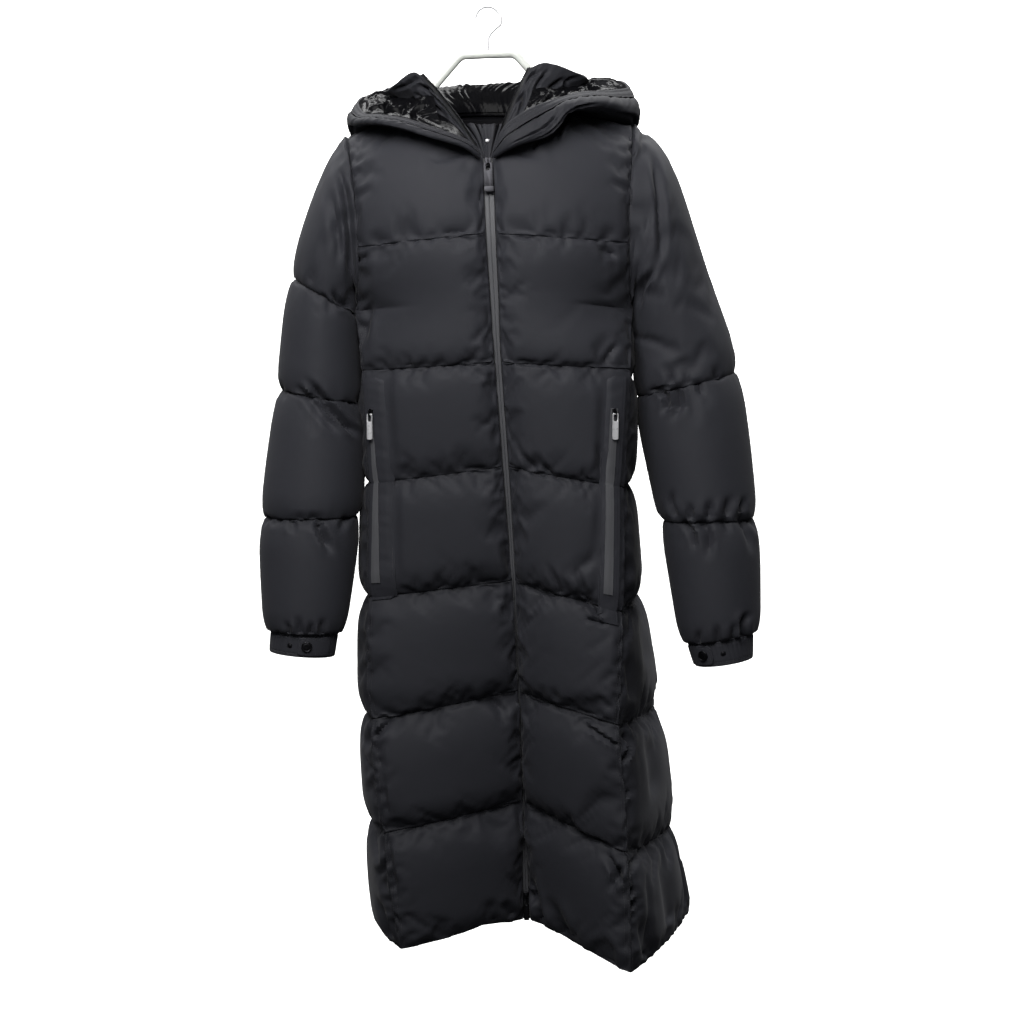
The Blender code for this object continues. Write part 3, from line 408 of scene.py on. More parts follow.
def finer(grid, axis, ring=False):
    # doubles a grid along one axis, smoothly, and keeps its own points
    grid = np.moveaxis(np.asarray(grid, dtype=float), axis, 0)
    if ring:
        ends = np.concatenate([grid[-1:], grid, grid[:2]])
    else:
        ends = np.concatenate([[2 * grid[0] - grid[1]], grid, [2 * grid[-1] - grid[-2]]])
    halves = (-ends[:-3] + 9 * ends[1:-2] + 9 * ends[2:-1] - ends[3:]) / 16
    doubled = np.empty((len(grid) + len(halves), *grid.shape[1:]))
    doubled[::2] = grid
    doubled[1::2] = halves
    return np.moveaxis(doubled, 0, axis)


def gridNormals(base, outside, closed=False):
    if closed:
        along = np.roll(base, -1, axis=1) - np.roll(base, 1, axis=1)
    else:
        along = np.gradient(base, axis=1)
    down = np.gradient(base, axis=0)
    normal = unit(np.cross(down, along))
    return -normal if np.sum(normal * outside) < 0 else normal


def lean(normal, target, weight):
    # turns normals part of the way towards others
    return unit(normal + (target - normal) * weight)


def roll(distance, width):
    # a quarter round: 1 at a stitched line, 0 from `width` away
    near = np.clip(1 - distance / width, 0, 1)
    return 1 - np.sqrt(1 - near**2)


def steps(start, end, spacing, size=None):
    # places from start to end, closer together at both ends
    size = size or abs(end - start)
    inner = np.linspace(0, 1, max(4, round(size / spacing)) + 1)[1:-1]
    close = np.array([0, 1.3, 3.6]) / size
    clear = close[2] * 1.2
    inner = inner[(inner > clear) & (inner < 1 - clear)]
    return start + np.concatenate([close, inner, 1 - close[::-1]]) * (end - start)


def midpoints(values):
    doubled = np.empty(2 * len(values) - 1)
    doubled[::2] = values
    doubled[1::2] = (values[:-1] + values[1:]) / 2
    return doubled


def distanceTo(line, points):
    # from 2-D points to a line of points, and how far along the line each one lies, from 0 to 1
    line = np.asarray(line, dtype=float)
    best = np.full(points.shape[:-1], 1e9)
    share = np.zeros(points.shape[:-1])
    runs = np.linalg.norm(np.diff(line, axis=0), axis=1)
    gone = 0.0
    for start, end, run in zip(line[:-1], line[1:], runs):
        way = (end - start) / max(run, 1e-9)
        part = np.clip((points - start) @ way, 0, run)
        gap = np.linalg.norm(points - start - part[..., None] * way, axis=-1)
        closer = gap < best
        best = np.where(closer, gap, best)
        share = np.where(closer, (gone + part) / runs.sum(), share)
        gone += run
    return best, share


def smooth(values, low, high):
    part = np.clip((values - low) / (high - low), 0, 1)
    return part * part * (3 - 2 * part)


def hill(values, middle, width):
    # 1 at `middle`, fading away over `width` on both sides
    return np.exp(-(((values - middle) / width) ** 2))


# all the folds' depths are multiplied by this
creaseDepth = 1.9


def pressFolds(shape, normal, flat, folds, weight=1.0):
    # each fold: a line in the same plane as `flat`, half width, depth, and how much of each end fades out
    for *line, width, depth, start, end in folds:
        if len(line) > 2:
            line = curveAt(line, np.linspace(0, len(line) - 1, 6 * len(line)))
        gap, share = distanceTo(line, flat)
        fade = smooth(share, -0.02, start) * smooth(1 - share, -0.02, end)
        bent = (gap / width) ** 2
        trough = (1 - 1.3 * bent) * np.exp(-bent)
        shape = shape - normal * (depth * creaseDepth * trough * fade * weight)[..., None]
    return shape


def addCreases(shape, normal, creases, facing):
    # creases drawn in the front view (x, z), on the cloth that faces -Y or +Y
    towards = smooth(normal[..., 1] * facing, -0.1, 0.35)
    return pressFolds(shape, normal, shape[..., [0, 2]], creases, towards)


def waves(places, pitch, seed):
    # uneven gathers along a seam, from -1 to 1
    random = np.random.default_rng(seed)
    total = np.zeros_like(places)
    for size in (1.0, 1.45, 2.1, 3.2):
        total += np.sin(places / (pitch * size) * 2 * math.pi + random.uniform(0, 6.28)) * random.uniform(0.5, 1)
    return total / 2.4


def finishMesh(name, bm, finishNames, node=None, body="coat", smoothShaded=True):
    bmesh.ops.recalc_face_normals(bm, faces=bm.faces)
    mesh = bpy.data.meshes.new(name)
    bm.to_mesh(mesh)
    bm.free()
    if smoothShaded:
        mesh.shade_smooth()
        mesh.set_sharp_from_angle(angle=math.radians(50))
    for finish in finishNames:
        mesh.materials.append(finishes[finish])
    item = bpy.data.objects.new(name, mesh)
    bpy.context.scene.collection.objects.link(item)
    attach(item, body)
    if node:
        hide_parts(node)
    return item


def gridMesh(bm, rows, columns, closed):
    # an open grid, or a tube of one; gives each corner's row and column
    span = columns if closed else columns - 1
    bmesh.ops.create_grid(bm, x_segments=span, y_segments=rows - 1, size=1)
    if closed:
        for vert in bm.verts:
            angle = (vert.co.x + 1) * math.pi
            vert.co = (math.cos(angle), math.sin(angle), vert.co.y)
        bmesh.ops.remove_doubles(bm, verts=bm.verts, dist=1e-5)
    spots = {}
    for vert in bm.verts:
        if closed:
            column = round(math.atan2(vert.co.y, vert.co.x) % (2 * math.pi) / (2 * math.pi) * span) % span
            row = round((vert.co.z + 1) / 2 * (rows - 1))
        else:
            column = round((vert.co.x + 1) / 2 * span)
            row = round((vert.co.y + 1) / 2 * (rows - 1))
        spots[vert] = (row, column)
    return spots


def clothWall(name, node, outer, inner, finishNames, closed=False, near=None):
    # a closed wall between two grids, with its cloth's own map in metres and its nearness to stitching, which the
    # shell's colour darkens by as painted shade
    rows, columns = outer.shape[:2]
    near = np.zeros((rows, columns)) if near is None else near
    bm = bmesh.new()
    mapped = bm.loops.layers.uv.new("cloth")
    nearSeam = bm.verts.layers.float.new("nearSeam")
    place = bm.verts.layers.int.new("place")
    spots = gridMesh(bm, rows, columns, closed)
    widths = np.median(np.linalg.norm(np.diff(outer, axis=1), axis=2), axis=0)
    lengths = np.linalg.norm(np.diff(outer, axis=0), axis=2).mean(axis=1)
    across = np.concatenate([[0], np.cumsum(widths), [np.sum(widths) + widths[-1]]]) * mm
    down = np.concatenate([[0], np.cumsum(lengths)]) * mm
    for vert, (row, column) in spots.items():
        vert[place] = row * columns + column
        vert[nearSeam] = near[row, column]
    for face in bm.faces:
        found = [spots[loop.vert][1] for loop in face.loops]
        wraps = max(found) - min(found) > 1
        for loop in face.loops:
            row, column = spots[loop.vert]
            column = columns if wraps and column == 0 else column
            loop[mapped].uv = (across[column], down[row])
    made = bmesh.ops.extrude_face_region(bm, geom=bm.faces[:], use_keep_orig=True)
    insideVerts = {item for item in made["geom"] if isinstance(item, bmesh.types.BMVert)}
    for item in made["geom"]:
        if isinstance(item, bmesh.types.BMFace):
            item.material_index = len(finishNames) - 1
    flatOuter, flatInner = outer.reshape(-1, 3) * mm, inner.reshape(-1, 3) * mm
    for vert in bm.verts:
        vert.co = (flatInner if vert in insideVerts else flatOuter)[vert[place]]
    bm.verts.layers.int.remove(place)
    return finishMesh(name, bm, finishNames, node)


# The cushion recipe on each quilted sheet: its stitched points are held, and pressure fills the rest.
cushion = {
    "frames": 16,
    "pressure": 4.0,
    "extraCloth": 0.045,
    "mostMove": 6.0,
    "bending": 0.3,
    "stiffness": 22,
    "quality": 4,
    "mass": 0.15,
    "damping": 2,
}
waiting = []
settled = {}


def fillCloth(key, grid, normals, held, closed=False):
    # held is 1 where the cloth is stitched; runFilling puts how far each point moved in `settled`
    rows, columns = grid.shape[:2]
    bm = bmesh.new()
    spots = gridMesh(bm, rows, columns, closed)
    order = np.array([spots[vert][0] * columns + spots[vert][1] for vert in bm.verts])
    flat = grid.reshape(-1, 3)
    for vert, index in zip(bm.verts, order):
        vert.co = flat[index] * mm
    mesh = bpy.data.meshes.new(f"sheet_{key}")
    bm.to_mesh(mesh)
    bm.free()
    facing = np.zeros(len(mesh.vertices) * 3)
    mesh.vertices.foreach_get("normal", facing)
    if np.sum(facing.reshape(-1, 3) * normals.reshape(-1, 3)[order]) < 0:
        mesh.flip_normals()
    item = bpy.data.objects.new(f"sheet_{key}", mesh)
    bpy.context.scene.collection.objects.link(item)
    group = item.vertex_groups.new(name="stitched")
    group.add([int(index) for index in np.nonzero(held.reshape(-1)[order] > 0.5)[0]], 1, "REPLACE")
    cloth = item.modifiers.new("fill", "CLOTH")
    settings = cloth.settings
    settings.quality = cushion["quality"]
    settings.mass = cushion["mass"]
    settings.tension_stiffness = cushion["stiffness"]
    settings.compression_stiffness = cushion["stiffness"]
    settings.shear_stiffness = cushion["stiffness"] / 3
    settings.bending_stiffness = cushion["bending"]
    settings.air_damping = cushion["damping"]
    settings.shrink_min = -cushion["extraCloth"]
    settings.use_pressure = True
    settings.uniform_pressure_force = cushion["pressure"]
    settings.vertex_group_mass = "stitched"
    settings.effector_weights.gravity = 0
    cloth.collision_settings.use_collision = False
    cloth.collision_settings.use_self_collision = False
    waiting.append((key, item, order, grid))


def runFilling():
    # every waiting sheet settles in the same run of frames
    scene = bpy.context.scene
    for moment in range(1, cushion["frames"] + 1):
        scene.frame_set(moment)
    view = bpy.context.evaluated_depsgraph_get()
    most = cushion["mostMove"]
    for key, item, order, grid in waiting:
        drift = np.zeros(grid.shape)
        shown = item.evaluated_get(view)
        made = shown.to_mesh()
        spots = np.zeros(len(made.vertices) * 3)
        made.vertices.foreach_get("co", spots)
        shown.to_mesh_clear()
        moved = np.zeros((grid.shape[0] * grid.shape[1], 3))
        moved[order] = spots.reshape(-1, 3) / mm
        drift = moved.reshape(grid.shape) - grid
        reach = np.maximum(np.linalg.norm(drift, axis=-1, keepdims=True), 1e-6)
        drift *= np.tanh(reach / most) * most / reach
        print("filled", key)
        settled[key] = drift
    for _, item, *_ in waiting:
        mesh = item.data
        bpy.data.objects.remove(item)
        bpy.data.meshes.remove(mesh)
    waiting.clear()
    scene.frame_set(1)


# The body's seam lines, level by level down the coat
levels = ["shoulder", "neck", "chest", "yoke", "armpit", "waist1", "waist2", "hip1", "hip2", "knee", "hem"]
quilted = [0, 3, 5, 6, 7, 8, 9, 10]
levelHeights = (142, 163, 205, 303, 385, 470, 613, 765, 915, 1070, 1235)
chest = 2
armpit = 4
seamGap = 0.3
wall = 2.4

# the zip from the chest down: x, y, z of its middle, half the gap between the fronts
zipLine = (
    (1, -92, -205, 7.2),
    (5, -108, -303, 6.8),
    (9.5, -108, -384, 5.7),
    (14, -108, -465, 4.6),
    (24, -100, -600, 4.2),
    (34, -88, -751, 3.4),
    (41, -75, -901, 3.0),
    (47, -62, -1053, 2.8),
    (52, -50, -1221, 5.0),
)
neckline = ((100, -2, -142), (62, -64, -163))
backNeck = {"depth": 62, "rise": 10, "shoulderShare": 0.2}
# corner seams from the waist down: x, y, z at each level
cornerSeams = {
    "leftFront": (
        (-160, -62, -477), (-152, -68, -625), (-154, -78, -775),
        (-151, -92, -936), (-135, -104, -1087), (-114, -108, -1243),
    ),
    "leftBack": (
        (-163, 58, -480), (-157, 66, -630), (-158, 72, -784),
        (-156, 78, -945), (-158, 84, -1105), (-156, 88, -1258),
    ),
    "rightFront": (
        (181, -84, -476), (173, -103, -628), (172, -125, -788),
        (168, -145, -933), (180, -160, -1097), (185, -175, -1252),
    ),
    "rightBack": (
        (190, 60, -482), (188, 74, -633), (204, 88, -790),
        (232, 96, -957), (257, 102, -1133), (284, 108, -1262),
    ),
}
# how far each panel arches out between its seams, at each level
arch = {
    "front": (2, 8, 12, 14, 15, 15, 12, 10, 8, 6, 4),
    "side": (0, 0, 0, 0, 4, 3, 3, 5, 8, 8, 8),
    "back": (2, 4, 6, 10, 14, 16, 18, 18, 18, 18, 18),
}
hemDrop = {"left": (0.36, 0.75), "right": (0.15, 1.1)}
armholes = {
    "left": {"top": (-184, 0, -170), "bottom": (-170, 0, -420), "halfDepth": 74, "scoop": 10},
    "right": {"top": (190, 0, -156), "bottom": (186, 0, -420), "halfDepth": 76, "scoop": -6},
}
armholeTurn = (0, 42, 72, 100, 145)

# At each stitched line down the body: how deep the cloth dips, and how wide the filling rolls away
# above and below it. "rows" and "columns" are the spacing of the panel's grid.
fillings = {
    "front": {
        "depth": (0.5, 0.13, 0.42, 0.55, 0.85, 1.0, 1.0, 0.75),
        "above": (30, 22, 26, 30, 36, 40, 42, 36),
        "below": (60, 34, 46, 54, 66, 74, 78, 60),
        "puff": 13.5,
        "rows": 7.0,
        "columns": 6.6,
    },
    "side": {
        "depth": (0.5, 0.5, 0.7, 0.9, 1.0, 1.0, 1.0, 0.8),
        "above": (30, 30, 34, 38, 42, 44, 46, 40),
        "below": (50, 40, 46, 54, 62, 66, 70, 60),
        "puff": 10.0,
        "rows": 8.0,
        "columns": 8.0,
    },
    "back": {
        "depth": (0.4, 0.45, 0.8, 0.9, 1.0, 1.0, 1.0, 0.8),
        "above": (30, 30, 36, 40, 42, 44, 46, 40),
        "below": (50, 40, 50, 56, 62, 66, 70, 60),
        "puff": 13.5,
        "rows": 8.4,
        "columns": 8.4,
    },
}
innerShare = 0.35


def armholePoints(side, turns):
    hole = armholes[side]
    top = np.array(hole["top"], dtype=float)
    bottom = np.array(hole["bottom"], dtype=float)
    angle = np.radians(np.asarray(turns, dtype=float))
    points = (top + bottom) / 2 + (top - bottom) / 2 * np.cos(angle)[..., None]
    points[..., 0] += hole["scoop"] * np.sin(angle) ** 2
    points[..., 1] -= hole["halfDepth"] * np.sin(angle)
    return points


def outerEdge(side, face, places):
    sign = 1 if face == "Front" else -1
    turns = curveAt([[turn] for turn in armholeTurn], np.minimum(places, armpit))[:, 0]
    above = armholePoints(side, sign * turns)
    corner = armholePoints(side, [sign * armholeTurn[-1]])
    below = curveAt(np.concatenate([corner, cornerSeams[side + face]]), np.maximum(places - armpit, 0))
    return np.where((places <= armpit)[:, None], above, below)


def easedEdge(side, face, places, reach=0.75):
    # the same edge without its corner at the armpit, for the cloth away from the seam
    own = outerEdge(side, face, places)
    soft = np.zeros_like(own)
    shares = np.hanning(23)[1:-1]
    for step, share in zip(np.linspace(-1, 1, 21), shares / shares.sum()):
        soft += share * outerEdge(side, face, np.clip(places + step * reach, 0, len(levels) - 1))
    weight = hill(places, armpit, 0.9)[:, None]
    return own + (soft - own) * weight


def zipMiddle(places):
    stops = range(chest, len(levels))
    found = curveAt(zipLine, np.asarray(places) - stops[0])
    return found[:, :3], found[:, 3]


# lower down, the two fronts' filling closes over the zip, until just above its lower slider
zipCover = {"from": (6.4, 7.5), "until": (9.2, 9.6), "share": 0.62, "behind": 2.4}


def covered(places):
    return smooth(places, *zipCover["from"]) * (1 - smooth(places, *zipCover["until"]))


def frontEdge(side, places):
    sign = -1 if side == "left" else 1
    middle, gap = zipMiddle(np.maximum(places, chest))
    middle[..., 0] += sign * gap * (1 - zipCover["share"] * covered(places))
    top, gap = zipMiddle(np.array([float(chest)]))
    top[:, 0] += sign * gap
    corners = [(sign * x, y, z) for x, y, z in neckline]
    above = curveAt(np.concatenate([corners, top]), np.minimum(places, chest))
    return np.where((places >= chest)[:, None], middle, above)


def backEdge(across):
    left = outerEdge("left", "Back", np.zeros(1))[0]
    right = outerEdge("right", "Back", np.zeros(1))[0]
    neckRight = np.array(neckline[0], dtype=float)
    neckLeft = neckRight * np.array([-1, 1, 1])
    share = backNeck["shoulderShare"]
    points = []
    for part in np.atleast_1d(across):
        if part <= share:
            points.append(left + (neckLeft - left) * part / share)
        elif part >= 1 - share:
            points.append(right + (neckRight - right) * (1 - part) / share)
        else:
            turn = (part - share) / (1 - 2 * share)
            point = neckLeft + (neckRight - neckLeft) * turn
            point[1] += backNeck["depth"] * math.sin(math.pi * turn) ** 0.8
            point[2] += backNeck["rise"] * math.sin(math.pi * turn)
            points.append(point)
    return np.array(points)


def archAt(panel, places):
    return curveAt([[part] for part in arch[panel]], places)


def frontBase(side, places, across):
    inner = frontEdge(side, places)[:, None]
    outer = outerEdge(side, "Front", places)[:, None]
    start, curve = hemDrop[side]
    dropped = np.maximum(0, (across - start) / (1 - start)) ** curve
    drop = across + (dropped - across) * np.clip(places - 9, 0, 1)[:, None]
    soft = easedEdge(side, "Front", places)[:, None]
    soft = outer + (soft - outer) * (1 - across[None, :, None] ** 6)
    grid = inner + (soft - inner) * across[None, :, None]
    grid[..., 1] -= archAt("front", places) * np.sin(math.pi * across)
    grid[..., 2] = inner[..., 2] + (soft - inner)[..., 2] * drop
    return grid


def backBase(places, across):
    left = outerEdge("left", "Back", places)[:, None]
    right = outerEdge("right", "Back", places)[:, None]
    inside = (1 - np.abs(2 * across - 1) ** 6)[None, :, None]
    softLeft = left + (easedEdge("left", "Back", places)[:, None] - left) * inside
    softRight = right + (easedEdge("right", "Back", places)[:, None] - right) * inside
    grid = softLeft + (softRight - softLeft) * across[None, :, None]
    grid[..., 1] += archAt("back", places) * np.sin(math.pi * across)
    blend = np.clip(1 - places, 0, 1)
    blend = (blend * blend * (3 - 2 * blend))[:, None, None]
    return grid + (backEdge(across)[None] - grid) * blend


def sideBase(side, places, across):
    front = outerEdge(side, "Front", places)[:, None]
    back = outerEdge(side, "Back", places)[:, None]
    lowest = armholeTurn[-1]
    sag = (np.clip(1 - (places - armpit) / 2, 0, 1) ** 1.5)[:, None, None]
    curve = armholePoints(side, lowest + (360 - 2 * lowest) * across)
    chord = curve[0] * (1 - across)[:, None] + curve[-1] * across[:, None]
    grid = front + (back - front) * across[None, :, None] + (curve - chord)[None] * sag
    grid[..., 0] += (-1 if side == "left" else 1) * archAt("side", places) * np.sin(math.pi * across)
    return grid


def levelRows(start, spacing):
    stops = sorted({start, *[stop for stop in quilted if stop > start]})
    rows = []
    for upper, lower in zip(stops, stops[1:]):
        height = levelHeights[lower] - levelHeights[upper]
        rows.extend(steps(upper, lower, spacing, height)[:-1])
    return np.array([*rows, float(stops[-1])])


def quiltFill(down, lines):
    # 0 on a deep stitched line and 1 where the filling is full; nearness to stitching; what is held.
    # Each line: its height, its depth, how wide the filling rolls away above and below, its nearness.
    fill = np.ones_like(down)
    near = np.zeros_like(down)
    held = np.zeros_like(down)
    for height, depth, above, below, most in lines:
        gap = down - height
        fill = fill - depth * roll(np.abs(gap), np.where(gap < 0, above, below))
        near = np.maximum(near, most * np.exp(-np.abs(gap) / 8))
        held = np.maximum(held, np.abs(gap) < 0.2)
    return np.clip(fill, 0, 1), near, held


def bodyFill(panel, places, across, base):
    rows = fillings[panel]
    down = np.interp(places, range(len(levels)), levelHeights)
    heights = [levelHeights[stop] for stop in quilted]
    most = [min(1, depth + 0.15) for depth in rows["depth"]]
    fill, near, held = quiltFill(down, zip(heights, rows["depth"], rows["above"], rows["below"], most))
    width = np.linalg.norm(base[:, -1] - base[:, 0], axis=1)[:, None]
    fromStart = across[None] * width
    fromEnd = (1 - across[None]) * width
    high = (1 - smooth(places, 4.4, 5.2))[:, None]
    # painted shade: the cloth's colour darkens towards the panel's seams, carried with the nearness to stitching
    shade = np.exp(-(fromEnd if panel == "front" else np.minimum(fromStart, fromEnd)) / 7) * 0.7
    if panel == "front":
        edge = (1 - 0.85 * roll(fromStart, 24)) * (1 - (0.5 + 0.1 * high) * roll(fromEnd, 26))
    elif panel == "back":
        deep = 0.5 + 0.25 * high
        edge = (1 - deep * roll(fromStart, 34)) * (1 - deep * roll(fromEnd, 34))
    else:
        edge = (1 - 0.5 * roll(fromStart, 30)) * (1 - 0.5 * roll(fromEnd, 30))
        edge = edge * np.clip(places - 4.6, 0, 1)[:, None]
    if panel != "side":
        edge = edge * (0.25 + 0.75 * smooth(places, -0.4, 3.8))[:, None]
    sides = np.zeros_like(across)
    sides[[0, -1]] = 1
    held = np.maximum(held[:, None], sides[None])
    return fill[:, None] * edge, np.maximum(near[:, None], shade), held


panels = {}


def layPanel(name, kind, baseOf, places, across, outside):
    for detail in ("coarse", "fine"):
        base = baseOf(places, across)
        fill, near, held = bodyFill(kind, places, across, base)
        panels[name, detail] = {
            "places": places, "across": across, "base": base, "fill": fill, "near": near, "held": held,
            "normal": gridNormals(base, np.array(outside, dtype=float)),
        }
        places = midpoints(places)
        across = midpoints(across)


def shareSeam(first, firstColumn, second, secondColumn):
    # the two panels' walls meet squarely: their normals turn to one shared direction near the seam
    own = []
    for grid, column in ((first, firstColumn), (second, secondColumn)):
        own.append((grid["places"], grid["normal"][:, column].copy()))
    for grid, column in ((first, firstColumn), (second, secondColumn)):
        both = sum(between(grid["places"], places, normal) for places, normal in own)
        reach = np.linalg.norm(grid["base"] - grid["base"][:, [column]], axis=2)
        weight = np.exp(-reach / 9) * smooth(grid["places"], armpit - 0.3, armpit)[:, None]
        grid["normal"] = lean(grid["normal"], unit(both)[:, None], weight[..., None])


panelWidths = {"front_left": 172, "front_right": 172, "side_left": 160, "side_right": 230, "back": 400}


def layBody():
    for name, width in panelWidths.items():
        kind, *rest = name.split("_")
        side = rest[0] if rest else None
        spacing = fillings[kind]
        baseOf = {
            "front": lambda places, across, side=side: frontBase(side, places, across),
            "side": lambda places, across, side=side: sideBase(side, places, across),
            "back": backBase,
        }[kind]
        outside = {"front": (0, -1, 0), "side": (-1 if side == "left" else 1, 0, 0), "back": (0, 1, 0)}[kind]
        rows = levelRows(armpit if kind == "side" else 0, spacing["rows"])
        layPanel(name, kind, baseOf, rows, steps(0, 1, spacing["columns"], width), outside)
    for detail in ("coarse", "fine"):
        back = panels["back", detail]
        for side, backColumn in (("left", 0), ("right", -1)):
            front = panels[f"front_{side}", detail]
            flank = panels[f"side_{side}", detail]
            shareSeam(front, -1, flank, 0)
            shareSeam(back, backColumn, flank, -1)
            level = front["normal"][:, [0]] * np.array([0, 1, 1])
            reach = np.linalg.norm(front["base"] - front["base"][:, [0]], axis=2)
            weight = np.exp(-reach / 9) * (front["places"] >= chest)[:, None]
            front["normal"] = lean(front["normal"], unit(level), weight[..., None])
        for name in ("front_left", "front_right", "back"):
            grid = panels[name, detail]
            top = unit(grid["normal"][0] * np.array([1, 0, 1]) + np.array([0, 0, 2]))
            reach = np.linalg.norm(grid["base"] - grid["base"][0], axis=2)
            grid["normal"] = lean(grid["normal"], top[None], np.exp(-reach / 9)[..., None])
            grid["base"][0] += unit(grid["base"][1] - grid["base"][0]) * seamGap
        for side in ("left", "right"):
            stopShort(panels[f"front_{side}", detail]["base"], end=True)
            stopShort(panels[f"side_{side}", detail]["base"], start=True, end=True)
        stopShort(back["base"], start=True, end=True)


def stopShort(base, start=False, end=False, gap=seamGap):
    if start:
        base[:, 0] += unit(base[:, 1] - base[:, 0]) * gap
    if end:
        base[:, -1] += unit(base[:, -2] - base[:, -1]) * gap


def puffed(grid, puff, share=1.0):
    return grid["base"] + grid["normal"] * (wall / 2 + grid["fill"] * puff)[..., None] * share


sleeves = {
    "left": {
        "rings": (
            (-213, -226, -173, -378, -4, 72),
            (-253, -357, -171, -406, -8, 64),
            (-271, -505, -175, -521, -20, 57),
            (-291, -671, -181, -670, -45, 52),
            (-286, -818, -200, -822, -76, 37),
        ),
        "quilted": (0, 2, 3, 4, 5),
        "depth": (0.55, 0.85, 0.95, 1.0, 1.0),
    },
    "right": {
        "rings": (
            (236, -212, 192, -385, -4, 72),
            (281, -352, 195, -440, -8, 64),
            (324, -482, 205, -511, -20, 57),
            (347, -673, 240, -676, -45, 52),
            (350, -820, 266, -835, -76, 37),
        ),
        "quilted": (0, 3, 4, 5),
        "depth": (0.55, 0.95, 1.0, 1.0),
    },
}
sleeveLook = {"puff": 9.0, "above": 36, "below": 52, "rows": 6.9, "columns": 48, "clear": (1.0, 2.4)}


def ringPoints(row, turns):
    outerX, outerZ, innerX, innerZ, middleY, halfDepth = row
    outer = np.array([outerX, middleY, outerZ], dtype=float)
    inner = np.array([innerX, middleY, innerZ], dtype=float)
    angle = np.radians(np.asarray(turns, dtype=float))
    points = (outer + inner) / 2 + (outer - inner) / 2 * np.cos(angle)[..., None]
    points[..., 1] -= halfDepth * np.sin(angle)
    return points


def laySleeve(side):
    sign = -1 if side == "left" else 1
    shape = sleeves[side]
    stops = shape["quilted"]
    middles = [armholePoints(side, [0, 180]).mean(axis=0)]
    middles += [ringPoints(row, [0, 180]).mean(axis=0) for row in shape["rings"]]
    lengths = runAlong(middles)
    rows = []
    for upper, lower in zip(stops, stops[1:]):
        rows.extend(steps(upper, lower, sleeveLook["rows"], lengths[lower] - lengths[upper])[:-1])
    places = np.array([*rows, float(stops[-1])])
    count = sleeveLook["columns"]
    for detail in ("coarse", "fine"):
        turns = np.arange(count) * 360 / count
        low = (1 - np.cos(np.radians(turns))) / 2
        clear = sleeveLook["clear"][0] + (sleeveLook["clear"][1] - sleeveLook["clear"][0]) * low
        armhole = armholePoints(side, turns) + np.array([sign, 0, 0]) * clear[:, None]
        base = curveAt(np.stack([armhole] + [ringPoints(row, turns) for row in shape["rings"]]), places)
        down = np.interp(places, range(len(lengths)), lengths)
        above, below = sleeveLook["above"], sleeveLook["below"]
        lines = [(lengths[stop], depth, above, below, depth) for stop, depth in zip(stops, shape["depth"])]
        fill, near, held = quiltFill(down, lines)
        towards = np.maximum(0, -np.cos(np.radians(turns)))
        pressed = smooth(3.5 - places, 0, 1.2)[:, None]
        middle = base.mean(axis=1, keepdims=True)
        panels[f"sleeve_{side}", detail] = {
            "places": places, "across": turns, "base": base,
            "fill": fill[:, None] * (1 - towards[None] * pressed),
            "near": np.repeat(near[:, None], count, axis=1),
            "held": np.repeat(held[:, None], count, axis=1),
            "normal": gridNormals(base, base - middle, closed=True),
        }
        places = midpoints(places)
        count *= 2


def bodyPuff(name):
    if name.startswith("sleeve"):
        return sleeveLook["puff"]
    return fillings[name.split("_")[0]]["puff"]


layBody()
for side in ("left", "right"):
    laySleeve(side)
quiltedPanels = [*panelWidths, "sleeve_left", "sleeve_right"]
for name in quiltedPanels:
    rough = panels[name, "coarse"]
    fillCloth(name, puffed(rough, bodyPuff(name)), rough["normal"], rough["held"], name.startswith("sleeve"))
print("sheets laid")
runFilling()

# Creases on each piece, as the front view shows them: its line (x, z), half width, depth, faded ends.
creases, backCreases = {}, {}
creases["front_left"] = (
    ((-124, -933), (-136, -945), (-150, -960), 5, 4.5, 0.5, 0.1),
    ((44, -869), (31, -884), 4, 3, 0.1, 0.6),
    ((-5, -898), (16, -925), (25, -949), 9, 3.5, 0.4, 0.4),
    ((44, -991), (27, -1001), 5, 3, 0.1, 0.6),
    ((-143, -962), (-139, -1015), (-130, -1066), 5, 2.5, 0.3, 0.2),
    ((-133, -1092), (-125, -1137), (-119, -1180), 5, 2.5, 0.2, 0.3),
    ((-146, -1142), (-128, -1160), 5, 3, 0.1, 0.5),
    ((-170, -336), (-158, -331), (-146, -322), 7, 2.4, 0.05, 0.7),
    ((-170, -392), (-158, -382), (-148, -370), 7, 2.0, 0.05, 0.7),
    ((-150, -380), (-158, -410), (-163, -445), 8, 3.5, 0.4, 0.3),
    ((34, -744), (27, -722), (21, -692), 8, 4.5, 0.1, 0.6),
    ((24, -600), (14, -574), 7, 3, 0.1, 0.7),
    ((12, -434), (0, -412), 6, 3, 0.1, 0.7),
    ((13, -462), (-4, -452), 4, 2.5, 0.1, 0.7),
    ((16, -505), (4, -486), 6, 2.5, 0.1, 0.7),
    ((-100, -470), (-106, -452), 7, 2, 0.1, 0.7),
    ((-60, -760), (-68, -742), 8, 2, 0.1, 0.7),
    ((-20, -912), (-26, -890), 8, 2, 0.1, 0.7),
    ((20, -1185), (34, -1212), 10, 4, 0.4, 0.1),
    ((0, -1180), (12, -1215), 12, 3, 0.4, 0.1),
)
